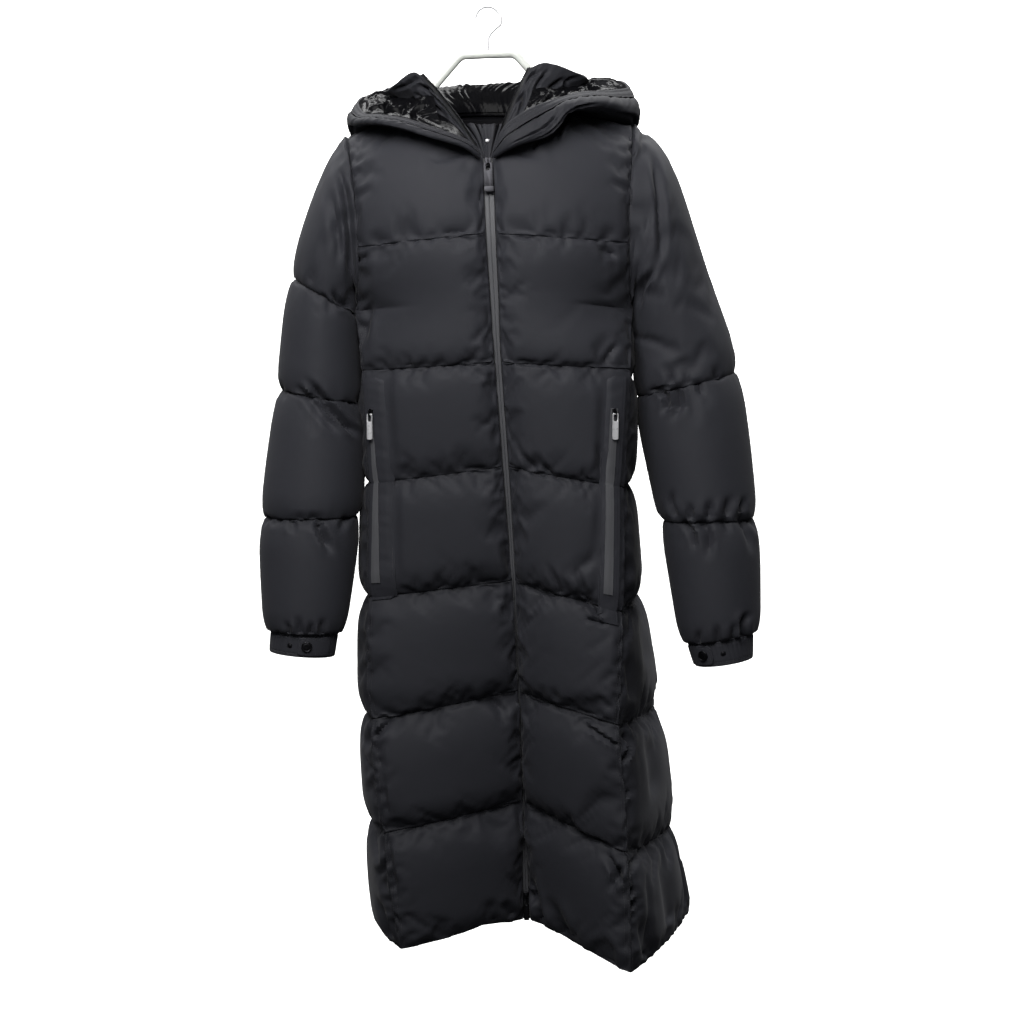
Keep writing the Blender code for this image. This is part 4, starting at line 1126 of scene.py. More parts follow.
creases["front_right"] = (
    ((75, -720), (86, -742), (97, -764), 6, 3.2, 0.7, 0.05),
    ((94, -738), (101, -752), (108, -766), 5, 2.5, 0.6, 0.05),
    ((112, -724), (122, -750), (134, -776), 6, 3.6, 0.7, 0.05),
    ((36, -572), (50, -590), (66, -602), 6, 3, 0.6, 0.1),
    ((56, -580), (68, -594), (82, -606), 6, 2.5, 0.6, 0.1),
    ((112, -770), (132, -778), (143, -790), (150, -786), 4, 3.5, 0.3, 0.1),
    ((126, -796), (140, -798), (152, -802), 4, 3, 0.3, 0.1),
    ((116, -930), (144, -944), (168, -958), 4, 3.5, 0.5, 0.05),
    ((150, -1096), (162, -1112), (172, -1134), 6, 5, 0.5, 0.1),
    ((156, -1150), (164, -1132), (174, -1112), 6, 4.5, 0.5, 0.1),
    ((98, -156), (94, -170), (91, -186), 4, 4.5, 0.05, 0.6),
    ((66, -178), (62, -188), (56, -199), 4, 3.5, 0.05, 0.7),
    ((108, -140), (96, -160), (78, -176), (52, -188), 6, 4, 0.1, 0.3),
    ((143, -566), (147, -590), (150, -620), 7, 2.5, 0.4, 0.4),
    ((55, -1150), (62, -1180), (72, -1215), 8, 6, 0.5, 0.1),
    ((78, -1170), (92, -1200), (104, -1225), 12, 4.5, 0.5, 0.1),
    ((40, -880), (52, -894), 6, 3, 0.1, 0.7),
    ((90, -905), (84, -885), 7, 2, 0.1, 0.7),
    ((166, -330), (150, -322), (138, -310), 6, 3, 0.1, 0.7),
    ((150, -470), (160, -452), (172, -440), 6, 3, 0.3, 0.3),
)
creases["side_left"] = (
    ((-148, -948), (-158, -962), (-166, -985), 8, 4, 0.1, 0.5),
    ((-140, -1078), (-150, -1090), (-160, -1100), 7, 4, 0.1, 0.6),
    ((-128, -1120), (-146, -1144), (-158, -1150), 7, 4, 0.1, 0.6),
    ((-150, -1180), (-140, -1210), (-132, -1235), 8, 4, 0.4, 0.1),
    ((-160, -780), (-168, -800), (-170, -830), 8, 3, 0.1, 0.6),
)
creases["side_right"] = (
    ((176, -946), (188, -960), (180, -974), (172, -984), 5, 5, 0.1, 0.3),
    ((182, -838), (188, -872), (192, -911), 10, 4, 0.4, 0.3),
    ((182, -720), (181, -750), (179, -786), 8, 3, 0.4, 0.2),
    ((166, -1028), (178, -1022), (192, -1014), 5, 4.5, 0.05, 0.7),
    ((170, -1100), (176, -1122), (190, -1112), (206, -1104), 6, 5, 0.1, 0.5),
    ((170, -1138), (184, -1146), (200, -1148), 6, 4, 0.1, 0.6),
    ((172, -1172), (186, -1164), (200, -1154), 6, 4.5, 0.1, 0.6),
    ((214, -962), (222, -1000), (226, -1052), 13, 4, 0.3, 0.3),
    ((236, -1126), (244, -1176), (252, -1230), 14, 4.5, 0.3, 0.1),
    ((198, -1176), (206, -1208), (214, -1246), 12, 4.5, 0.4, 0.1),
    ((206, -800), (212, -840), (216, -880), 10, 3, 0.3, 0.3),
)
creases["sleeve_left"] = (
    ((-240, -484), (-218, -510), (-196, -540), 7, 5, 0.5, 0.2),
    ((-212, -520), (-192, -540), (-170, -564), 6, 5.5, 0.1, 0.3),
    ((-236, -506), (-214, -534), (-190, -562), 8, 4, 0.3, 0.4),
    ((-250, -496), (-236, -512), (-226, -530), 6, 3, 0.2, 0.6),
    ((-222, -676), (-212, -694), (-202, -718), 7, 6, 0.1, 0.5),
    ((-256, -672), (-250, -690), 7, 3, 0.1, 0.6),
    ((-186, -668), (-194, -690), 6, 3, 0.1, 0.6),
    ((-199, -206), (-184, -250), (-178, -300), (-178, -362), 7, 5, 0.3, 0.2),
    ((-206, -240), (-196, -290), (-190, -340), 9, 3, 0.3, 0.3),
    ((-202, -374), (-190, -392), (-180, -386), 5, 4.5, 0.3, 0.2),
    ((-232, -362), (-224, -344), 7, 2.5, 0.1, 0.6),
    ((-262, -800), (-258, -818), 5, 3, 0.5, 0.1),
    ((-246, -792), (-244, -818), 6, 3, 0.6, 0.1),
    ((-228, -800), (-230, -818), 5, 3, 0.5, 0.1),
    ((-214, -796), (-216, -820), 6, 3, 0.5, 0.1),
)
creases["sleeve_right"] = (
    ((214, -190), (222, -236), (226, -300), (223, -346), 8, 4.5, 0.3, 0.3),
    ((220, -344), (202, -366), (196, -400), 6, 4.5, 0.3, 0.3),
    ((222, -498), (234, -514), (229, -536), 5, 5.5, 0.1, 0.4),
    ((246, -497), (250, -520), (240, -548), 7, 4, 0.1, 0.6),
    ((276, -493), (280, -514), 6, 3, 0.1, 0.6),
    ((240, -494), (236, -470), 6, 3.5, 0.1, 0.7),
    ((262, -494), (258, -474), 6, 3, 0.1, 0.7),
    ((300, -488), (298, -468), 7, 3, 0.1, 0.7),
    ((246, -668), (240, -648), (242, -630), 5, 4.5, 0.1, 0.6),
    ((266, -670), (262, -646), 5, 4, 0.1, 0.6),
    ((288, -668), (290, -640), 7, 4.5, 0.1, 0.6),
    ((312, -664), (316, -636), 8, 4, 0.1, 0.6),
    ((332, -662), (336, -640), 6, 4, 0.1, 0.6),
    ((256, -672), (268, -690), (270, -712), 5, 4.5, 0.1, 0.5),
    ((282, -670), (288, -696), (286, -726), 7, 4, 0.1, 0.6),
    ((308, -666), (316, -690), 7, 3, 0.1, 0.6),
    ((330, -664), (342, -690), (350, -720), 8, 3.5, 0.1, 0.6),
    ((276, -812), (274, -834), 5, 3, 0.5, 0.1),
    ((298, -804), (300, -830), 6, 3, 0.5, 0.1),
    ((322, -800), (320, -826), 6, 3, 0.5, 0.1),
    ((340, -790), (334, -806), (336, -826), 7, 5, 0.3, 0.1),
)
# and the same kinds of crease on the side that faces +Y, in the front view's x and z
backCreases["back"] = (
    ((-150, -960), (-132, -944), (-118, -938), 6, 4.5, 0.1, 0.6),
    ((-152, -806), (-138, -788), (-122, -782), 6, 4, 0.1, 0.6),
    ((-140, -1128), (-124, -1110), (-108, -1102), 6, 4.5, 0.1, 0.6),
    ((-118, -640), (-96, -662), 7, 3.5, 0.1, 0.6),
    ((-60, -792), (-52, -768), 8, 3, 0.1, 0.7),
    ((-20, -944), (-34, -918), 8, 3, 0.1, 0.7),
    ((30, -640), (38, -614), 8, 3, 0.1, 0.7),
    ((70, -1110), (58, -1082), 8, 3.5, 0.1, 0.7),
    ((120, -796), (136, -818), 7, 3.5, 0.1, 0.6),
    ((196, -802), (176, -786), (160, -784), 6, 4.5, 0.1, 0.6),
    ((220, -968), (204, -948), (186, -942), 6, 5, 0.1, 0.6),
    ((246, -1142), (226, -1120), (206, -1112), 6, 5, 0.1, 0.6),
    ((150, -650), (168, -634), (180, -636), 6, 3.5, 0.5, 0.1),
    ((-60, -1130), (-48, -1180), (-44, -1240), 14, 4.5, 0.4, 0.05),
    ((60, -1140), (76, -1190), (84, -1245), 15, 5, 0.4, 0.05),
    ((170, -1150), (190, -1200), (206, -1250), 15, 5, 0.4, 0.05),
    ((-150, -420), (-128, -440), (-104, -448), 7, 4, 0.1, 0.6),
    ((160, -418), (140, -440), (116, -450), 7, 4, 0.1, 0.6),
    ((-130, -360), (-118, -400), 9, 3, 0.3, 0.4),
    ((138, -350), (124, -396), 9, 3, 0.3, 0.4),
)
backCreases["sleeve_left"] = (
    ((-250, -360), (-236, -384), 7, 4, 0.1, 0.6),
    ((-216, -372), (-206, -400), 6, 3.5, 0.1, 0.6),
    ((-262, -508), (-244, -532), (-224, -548), 7, 5, 0.2, 0.5),
    ((-216, -512), (-202, -540), 6, 4, 0.1, 0.6),
    ((-252, -500), (-240, -476), 6, 3, 0.1, 0.7),
    ((-270, -674), (-256, -700), 7, 4, 0.1, 0.6),
    ((-236, -678), (-230, -706), 6, 4, 0.1, 0.6),
    ((-208, -664), (-204, -640), 7, 3.5, 0.1, 0.7),
    ((-260, -796), (-258, -820), 5, 3, 0.5, 0.1),
    ((-232, -796), (-234, -820), 5, 3, 0.5, 0.1),
)
backCreases["sleeve_right"] = (
    ((240, -498), (252, -524), 6, 4, 0.1, 0.6),
    ((270, -496), (262, -470), 7, 3.5, 0.1, 0.7),
    ((300, -490), (290, -520), 7, 4.5, 0.1, 0.6),
    ((262, -672), (272, -704), 7, 4.5, 0.1, 0.6),
    ((290, -668), (284, -640), 7, 4, 0.1, 0.7),
    ((318, -668), (308, -700), 7, 4.5, 0.1, 0.6),
    ((334, -664), (338, -640), 6, 3.5, 0.1, 0.7),
    ((286, -806), (288, -832), 6, 3, 0.5, 0.1),
    ((322, -800), (324, -826), 6, 3, 0.5, 0.1),
)
gatherLook = {"pitch": 11.0, "body": 0.32, "sleeve": 0.95, "sleeveRadius": 58}
pockets = {
    "left": {"welt": (0.80, 0.975), "tape": (0.905, 0.955), "grow": (0.45, 1.1), "ends": (5.09, 7.03)},
    "right": {"welt": (0.79, 0.955), "tape": (0.835, 0.905), "grow": (0.8, 1.05), "ends": (5.09, 7.13)},
}
pocketZip = {"ends": (5.375, 6.88), "weltLift": 0.9, "weltWall": 1.2, "tapeWall": 0.9, "rowSpacing": 2.45}
shapes = {}


def shapePanel(name, seed):
    fine = panels[name, "fine"]
    closed = name.startswith("sleeve")
    side = name.split("_")[-1]
    drift = finer(finer(settled[name], 0), 1, ring=closed)
    if name.startswith("front"):
        # the filling is pressed flat under the pocket, so the zip lies level
        start, end = pockets[side]["welt"]
        bed = smooth(fine["across"], start - 0.08, start) * smooth(-fine["across"], -end - 0.06, -end)
        rows = smooth(fine["places"], 4.9, 5.2) * smooth(-fine["places"], -7.25, -7.0)
        drift = drift * (1 - 0.9 * rows[:, None] * bed[None])[..., None]
    shape = puffed(fine, bodyPuff(name)) + drift
    if closed:
        radius = gatherLook["sleeveRadius"]
        run = np.linspace(0, 2 * math.pi, shape.shape[1], endpoint=False)[None] * radius
        pitch = radius / round(radius / gatherLook["pitch"])
    else:
        run = np.array([runAlong(row) for row in shape])
        pitch = gatherLook["pitch"]
    ripple = waves(run + 9 * fine["places"][:, None], pitch, seed)
    depth = gatherLook["sleeve" if closed else "body"]
    lift = ripple * np.clip(fine["near"] * 1.4, 0, 1) ** 0.6 * np.clip(fine["fill"] * 2.5, 0, 1) * depth
    shape = shape + fine["normal"] * lift[..., None]
    for table, facing in ((creases, -1), (backCreases, 1)):
        shape = addCreases(shape, fine["normal"], table.get(name, ()), facing)
    # a crease never cuts through to the lining side
    under = wall / 2 + fine["fill"] * bodyPuff(name) * innerShare
    above = np.sum((shape - fine["base"]) * fine["normal"], axis=-1)
    shape = shape + fine["normal"] * np.maximum(0, 1.0 - under - above)[..., None]
    inner = fine["base"] - fine["normal"] * under[..., None]
    shapes[name] = shape
    item = clothWall(f"{name}_cloth", name, shape, inner, ("shell", "lining"), closed, fine["near"])


for seed, name in enumerate(quiltedPanels):
    shapePanel(name, 20 + seed)
print("quilted panels ready")


def gridAt(grid, row, column):
    row = np.clip(np.asarray(row, dtype=float), 0, len(grid) - 1.001)
    column = np.clip(np.asarray(column, dtype=float), 0, grid.shape[1] - 1.001)
    top, left = row.astype(int), column.astype(int)
    down, right = (row - top)[..., None], (column - left)[..., None]
    upper = grid[top, left] * (1 - right) + grid[top, left + 1] * right
    lower = grid[top + 1, left] * (1 - right) + grid[top + 1, left + 1] * right
    return upper * (1 - down) + lower * down


facings = {}
for name in quiltedPanels:
    fine = panels[name, "fine"]
    facings[name] = gridNormals(shapes[name], fine["normal"], name.startswith("sleeve"))


def onPanel(name, places, across):
    # points and normals on a finished quilted panel
    fine = panels[name, "fine"]
    row = np.interp(places, fine["places"], np.arange(len(fine["places"])))
    column = np.interp(across, fine["across"], np.arange(len(fine["across"])))
    return gridAt(shapes[name], row, column), unit(gridAt(facings[name], row, column))


# Stitches: one small thread lump each, all in one mesh
stitchLook = {"pitch": 3.4, "part": 0.66, "radius": 0.34, "rise": 0.12}
stitches = []


def stitchAlong(points, normals, pitch=stitchLook["pitch"]):
    run = runAlong(points)
    stops = np.arange(pitch / 2, run[-1], pitch)
    half = pitch * stitchLook["part"] / 2
    starts, ends = (between(stops + way, run, points) for way in (-half, half))
    ups = unit(between(stops, run, normals))
    ways = unit(ends - starts)
    sides = np.cross(ups, ways)
    middles = (starts + ends) / 2 + ups * stitchLook["rise"]
    radius = stitchLook["radius"]
    stitches.extend(np.stack([ways * half, sides * radius, ups * radius, middles], axis=-1))


def copies(bm, frames):
    # bm holds one small shape: it is doubled until there is one for each frame (three axes and a place)
    number = bm.verts.layers.int.new("number")
    made = 1
    while made < len(frames):
        again = bmesh.ops.duplicate(bm, geom=[*bm.verts, *bm.edges, *bm.faces])
        for item in again["geom"]:
            if isinstance(item, bmesh.types.BMVert):
                item[number] += made
        made *= 2
    extra = [vert for vert in bm.verts if vert[number] >= len(frames)]
    bmesh.ops.delete(bm, geom=extra, context="VERTS")
    corners = np.array([vert.co for vert in bm.verts])
    own = np.asarray(frames)[[vert[number] for vert in bm.verts]]
    placed = np.einsum("nij,nj->ni", own[..., :3], corners) + own[..., 3]
    for vert, spot in zip(bm.verts, placed * mm):
        vert.co = spot


# Cuffs: the ring, its tab with two rounded corners, a snap on the tab and a spare stud
cuffs = {
    "left": {"end": (-288, -846, -204, -853, -81, 34), "tab": (85, 144), "snap": 101, "stud": 72},
    "right": {"end": (350, -854, 276, -866, -81, 34), "tab": (113, 172), "snap": 131, "stud": 94},
}
cuffLook = {
    "wall": 3.2, "height": 28, "columns": 216, "rows": 27, "stitched": (0.10, 0.84, 0.92), "dip": 0.7,
    "puckers": 1.1, "pitch": 6.0, "rest": 0.4, "stitch": 3.0,
}
tabLook = {"wall": 1.6, "wide": 23, "span": (0.1, 0.9), "columns": 61, "rows": 21, "corner": 6.5, "stitched": 2.6}
# radius and height, from the middle of the top round to the middle of the foot
snapProfile = (
    (0, 2.15), (2.2, 2.2), (3.9, 2.35), (4.5, 2.0), (5.3, 1.95), (5.8, 2.4), (6.5, 2.3),
    (6.95, 1.7), (7.0, 0.5), (6.7, 0), (0, 0),
)
studProfile = ((0, 1.6), (1.3, 1.6), (1.7, 1.4), (1.7, 0.8), (2.5, 0.6), (3.1, 0.6), (3.4, 0.3), (3.4, 0), (0, 0))


def turned(name, node, profile, centre, facing, finish, sides=28):
    bm = bmesh.new()
    verts = [bm.verts.new((radius * mm, 0, height * mm)) for radius, height in profile]
    edges = [bm.edges.new(pair) for pair in zip(verts, verts[1:])]
    bmesh.ops.spin(bm, geom=verts + edges, cent=(0, 0, 0), axis=(0, 0, 1), angle=2 * math.pi, steps=sides)
    bmesh.ops.remove_doubles(bm, verts=bm.verts, dist=1e-6)
    turn = Vector(facing).to_track_quat("Z", "Y").to_matrix().to_4x4()
    bmesh.ops.transform(bm, matrix=Matrix.Translation(Vector(centre) * mm) @ turn, verts=bm.verts)
    finishMesh(name, bm, [finish], node)


def cuffBase(side, turns, parts):
    upper = ringPoints(sleeves[side]["rings"][-1], turns)
    lower = ringPoints(cuffs[side]["end"], turns)
    upper = upper + unit(lower - upper) * 2 * seamGap
    return upper[None] + (lower - upper)[None] * np.asarray(parts)[:, None, None]


def makeCuff(side, seed):
    shape, look = cuffs[side], cuffLook
    turns = np.linspace(0, 360, look["columns"], endpoint=False)
    parts = np.linspace(0, 1, look["rows"])
    base = cuffBase(side, turns, parts)
    middle = base.mean(axis=1, keepdims=True)
    normal = gridNormals(base, base - middle, closed=True)
    girth = lengthOf(base[0])
    run = np.linspace(0, girth, look["columns"], endpoint=False)[None] + 4 * parts[:, None]
    pitch = girth / round(girth / look["pitch"])
    puckers = np.sin(run / pitch * 2 * math.pi) * 0.5 + waves(run, pitch, seed) * 0.5
    seam = np.abs(np.linspace(-1, 1, look["columns"]))[None] ** 8
    puckers = puckers * (1 - seam)
    lift = puckers * (look["puckers"] * np.exp(-parts * 5.5) + 0.28)[:, None]
    lift = lift - look["dip"] * sum(hill(parts, line, 0.025) for line in look["stitched"])[:, None]
    edge = 0.9 * (1 - roll(parts * look["height"], 4) - roll((1 - parts) * look["height"], 3))[:, None]
    outer = base + normal * (look["wall"] / 2 - 0.9 + edge + lift)[..., None]
    inner = base - normal * (look["wall"] / 2)
    cuff = clothWall(f"cuffRing_{side}", f"cuff_{side}", outer, inner, ("shell", "shell"), closed=True)
    for line in look["stitched"]:
        row = gridAt(outer, np.full(len(turns), line * (look["rows"] - 1)), np.arange(len(turns)))
        stitchAlong(row, normal[round(line * (look["rows"] - 1))], look["stitch"])

    start, end = shape["tab"]
    turns = np.linspace(start, end, tabLook["columns"])
    top, bottom = tabLook["span"]
    wide, stitched = tabLook["wide"], tabLook["stitched"]
    parts = np.linspace(0, 1, tabLook["rows"])
    length = np.linalg.norm(cuffBase(side, [start], [0.5]) - cuffBase(side, [end], [0.5]))
    along = (turns - start) / (end - start) * length
    inwards = np.clip(1 - along / tabLook["corner"], 0, 1)
    shorter = tabLook["corner"] / wide * (1 - np.sqrt(1 - inwards**2))
    columns = []
    for turn, short in zip(turns, shorter):
        column = cuffBase(side, [turn], top + (bottom - top) * (short + (1 - 2 * short) * parts))
        columns.append(column[:, 0])
    base = np.stack(columns, axis=1)
    normal = gridNormals(base, base - middle.mean(axis=0))
    foot = look["wall"] / 2 + look["rest"]
    fromEdge = np.minimum(np.minimum(parts, 1 - parts)[:, None] * wide, along[None])
    puff = 0.55 * (1 - roll(fromEdge, 1.4)) - 0.5 * hill(fromEdge, stitched, 0.7)
    under = base + normal * (foot + 0.3)
    over = base + normal * (foot + tabLook["wall"] - 0.45 + puff)[..., None]
    tab = clothWall(f"cuffTab_{side}", f"cuff_tab_{side}", over, under, ("shell", "shell"))
    # stitched along its upper edge, round its free end and back along its lower edge
    lastRow, lastColumn = tabLook["rows"] - 1, tabLook["columns"] - 1
    upper, first = stitched / wide * lastRow, stitched / length * lastColumn
    lower = lastRow - upper
    outline = [(upper, column) for column in np.linspace(lastColumn, first + 4, 30)]
    outline += [(row, first) for row in np.linspace(upper + 2, lower - 2, 12)]
    outline += [(lower, column) for column in np.linspace(first + 4, lastColumn, 30)]
    rows, across = np.array(outline).T
    stitchAlong(gridAt(over, rows, across), gridAt(normal, rows, across), look["stitch"])

    for fitting, profile, height in (
        ("snap", snapProfile, foot + tabLook["wall"] + look["rest"]),
        ("stud", studProfile, foot),
    ):
        near = cuffBase(side, [shape[fitting] - 5, shape[fitting], shape[fitting] + 5], [0.3, 0.5, 0.7])
        facing = gridNormals(near, near - middle.mean(axis=0))[1, 1]
        turned(
            f"cuff{fitting.capitalize()}_{side}", f"cuff_{fitting}_{side}", profile,
            near[1, 1] + facing * (height - 0.3), facing, "darkMetal",
        )


for seed, side in enumerate(("left", "right")):
    makeCuff(side, 50 + seed)
print("cuffs ready")


# Collar: stations run from the zip's left edge round the back to its right edge
collarEnd = 12
collarShape = {
    "left": (
        (-86, -51, -94), (-99, -45, -90), (-122, -26, -103), (-134, 6, -110),
        (-104, 50, -104), (-54, 72, -96), (0, 79, -92),
    ),
    "right": (
        (56, -52, -85), (77, -46, -78), (112, -28, -86), (134, 4, -94),
        (106, 50, -96), (54, 72, -91), (0, 79, -92),
    ),
    "inset": 3.0, "insetZip": 3.3, "insetBack": 2.2, "wall": 3.0, "puff": 1.3,
    "columns": 193, "rows": 37, "size": (46, 90),
}
# folds in the cloth's own places (station, rise): line, half width, depth in mm, faded ends
collarFolds = [
    ((0.3, 0.25), (0.9, 0.5), (1.2, 0.8), 7, 3.2, 0.3, 0.3),
    ((0.1, 0.55), (0.6, 0.7), (1.6, 0.72), 6, 2.8, 0.2, 0.4),
    ((1.1, 0.2), (1.6, 0.42), (1.8, 0.7), 8, 3.0, 0.3, 0.3),
    ((0.7, 0.92), (1.5, 0.86), (2.4, 0.94), 5, 2.2, 0.3, 0.3),
    ((2.0, 0.3), (2.6, 0.5), (2.8, 0.85), 8, 3.0, 0.3, 0.3),
    ((1.9, 0.6), (2.3, 0.52), (2.7, 0.62), 5, 2.4, 0.3, 0.3),
    ((3.3, 0.3), (3.7, 0.6), (3.6, 0.9), 8, 2.6, 0.3, 0.3),
    ((4.4, 0.4), (4.9, 0.7), (5.4, 0.8), 7, 2.0, 0.4, 0.4),
    ((5.8, 0.5), (6.3, 0.62), (7.0, 0.6), 7, 2.0, 0.4, 0.4),
    ((7.5, 0.4), (8.1, 0.6), (8.3, 0.9), 8, 2.4, 0.3, 0.3),
    ((8.9, 0.3), (9.2, 0.55), (9.0, 0.9), 8, 3.0, 0.3, 0.3),
    ((9.5, 0.5), (9.9, 0.75), (9.7, 0.95), 5, 3.0, 0.3, 0.3),
    ((10.1, 0.2), (10.3, 0.5), (10.0, 0.85), 7, 3.4, 0.3, 0.3),
    ((10.6, 0.35), (10.9, 0.6), (10.7, 0.92), 6, 3.0, 0.3, 0.3),
    ((11.2, 0.3), (11.5, 0.55), (11.9, 0.6), 6, 3.0, 0.3, 0.2),
    ((11.0, 0.8), (11.5, 0.86), (11.9, 0.82), 5, 2.2, 0.3, 0.2),
]


def neckSeam(side, stations):
    front = frontEdge(side, np.clip(chest * (1 - stations / 3), 0, chest))
    share = backNeck["shoulderShare"]
    across = share + (0.5 - share) * (np.maximum(stations, 3) - 3) / 3
    rear = backEdge(across if side == "left" else 1 - across)
    point = np.where((stations <= 3)[:, None], front, rear)
    inwards = unit(np.stack([-point[:, 0], -8 - point[:, 1], 0 * stations], axis=-1))
    forward = 1 - stations / 3
    inset = collarShape["inset"] + collarShape["insetZip"] * np.maximum(0, forward)
    inset += collarShape["insetBack"] * np.clip(-forward * 3, 0, 1)
    return point + inwards * inset[:, None] - np.array([0, 0, 1.5])


def bothSides(stations, back, found):
    # stations run from the left front round the middle of the back to the right front
    left = found("left", np.clip(stations, 0, back))
    right = found("right", np.clip(2 * back - stations, 0, back))
    return np.where((stations <= back)[:, None], left, right)


def fromFront(stations, last):
    return np.minimum(stations, last - stations)


def collarBase(stations, rises):
    foot = bothSides(stations, collarEnd // 2, neckSeam)
    top = bothSides(stations, collarEnd // 2, lambda side, places: curveAt(collarShape[side], places))
    # it stands up first and splays out after; less so along its two front edges
    front = hill(fromFront(stations, collarEnd), 0, 1.1)
    outward = rises[:, None] ** (1.5 - 0.45 * front)
    upward = rises[:, None] ** (0.7 + 0.2 * front)
    share = np.stack([outward, outward, upward], axis=-1)
    return foot[None] + (top - foot)[None] * share


def flatPlaces(across, down, size):
    return np.stack(np.meshgrid(across * size[0], down * size[1]), axis=-1)


def pressOwnFolds(shape, normal, across, down, size, folds, weight=1.0):
    # folds given in the cloth's own places, which `size` turns into millimetres
    scaled = [(*((u * size[0], v * size[1]) for u, v in fold[:-4]), *fold[-4:]) for fold in folds]
    return pressFolds(shape, normal, flatPlaces(across, down, size), scaled, weight)


def outwardNormals(grid):
    return gridNormals(grid, grid - grid.mean(axis=1, keepdims=True))


stations = np.linspace(0, collarEnd, collarShape["columns"])
rises = np.linspace(0, 1, collarShape["rows"])
collarGrid = collarBase(stations, rises)
collarNormal = outwardNormals(collarGrid)
collarPuff = np.sin(rises * math.pi)[:, None] ** 0.6 * collarShape["puff"]
collarOuter = collarGrid + collarNormal * (collarShape["wall"] / 2 + collarPuff)[..., None]
collarOuter = pressOwnFolds(collarOuter, collarNormal, stations, rises, collarShape["size"], collarFolds)
stationWide = collarShape["size"][0]
ripple = waves(stations[None] * stationWide + 30 * rises[:, None], 13, 61)
ripple = ripple * (0.55 + 0.5 * np.exp(-rises * 8))[:, None]
collarOuter = collarOuter + collarNormal * ripple[..., None]
collarInner = collarGrid - collarNormal * (collarShape["wall"] / 2 + 0.35 * collarPuff)[..., None]
collar = clothWall("standCollar", "collar", collarOuter, collarInner, ("shellSoft", "lining"))

# its lining hangs in uneven upright folds, loose at the back of the neck
collarLiningLook = {"wall": 1.0, "start": 0.03, "columns": 241, "rows": 25, "folds": 2.6, "pitch": 12.0}
stations = np.linspace(0, collarEnd, collarLiningLook["columns"])
rises = np.linspace(collarLiningLook["start"], 1, collarLiningLook["rows"])
liningGrid = collarBase(stations, rises)
liningNormal = outwardNormals(liningGrid)
loose = np.exp(-(((stations - 6) / 3.2) ** 4))[None] * 0.75 + 0.25
run = stations[None] * stationWide + 14 * np.sin(rises * 3)[:, None]
deep = np.abs(waves(run, collarLiningLook["pitch"], 71)) ** 0.8
folds = deep * collarLiningLook["folds"] * loose * (0.5 + rises[:, None] * 0.8)
stand = collarShape["wall"] / 2 + 0.6 + 0.35 * collarShape["puff"]
behind = liningGrid - liningNormal * stand
front = behind - liningNormal * (collarLiningLook["wall"] + folds)[..., None]
lining = clothWall("collarLining", "collar_lining", front, behind, ("lining", "lining"))
print("collar ready")


# Hood, thrown back. Each station round the neck: its lowest fold, its rim.
hoodEnd = 20
hoodShape = {
    "left": (
        ((-9, -105, -206), (-9, -110, -195)), ((-33, -113, -190), (-30, -113, -181)),
        ((-74, -110, -176), (-73, -107, -166)), ((-108, -98, -164), (-106, -94, -155)),
        ((-140, -77, -157), (-138, -71, -148)), ((-166, -38, -154), (-161, -36, -142)),
        ((-175, 12, -154), (-172, 8, -121)), ((-168, 78, -188), (-160, 70, -107)),
        ((-124, 122, -286), (-118, 122, -120)), ((-60, 132, -326), (-56, 144, -132)),
        ((0, 134, -332), (0, 149, -133)),
    ),
    "right": (
        ((9, -105, -205), (9, -110, -192)), ((38, -118, -190), (24, -112, -165)),
        ((80, -114, -174), (56, -104, -143)), ((104, -104, -144), (90, -92, -130)),
        ((142, -76, -136), (122, -68, -119)), ((172, -44, -140), (158, -38, -113)),
        ((187, 4, -150), (186, 4, -103)), ((174, 78, -188), (170, 72, -86)),
        ((126, 122, -286), (120, 122, -112)), ((60, 132, -326), (56, 144, -130)),
        ((0, 134, -332), (0, 149, -133)),
    ),
    "wall": 4.0, "frontWall": 2.0, "edgeWall": 3.4, "edge": 18, "edgeMost": 0.13,
    "footHeight": 18, "footClear": 3.5, "gap": 1.0, "size": (38, 150),
}
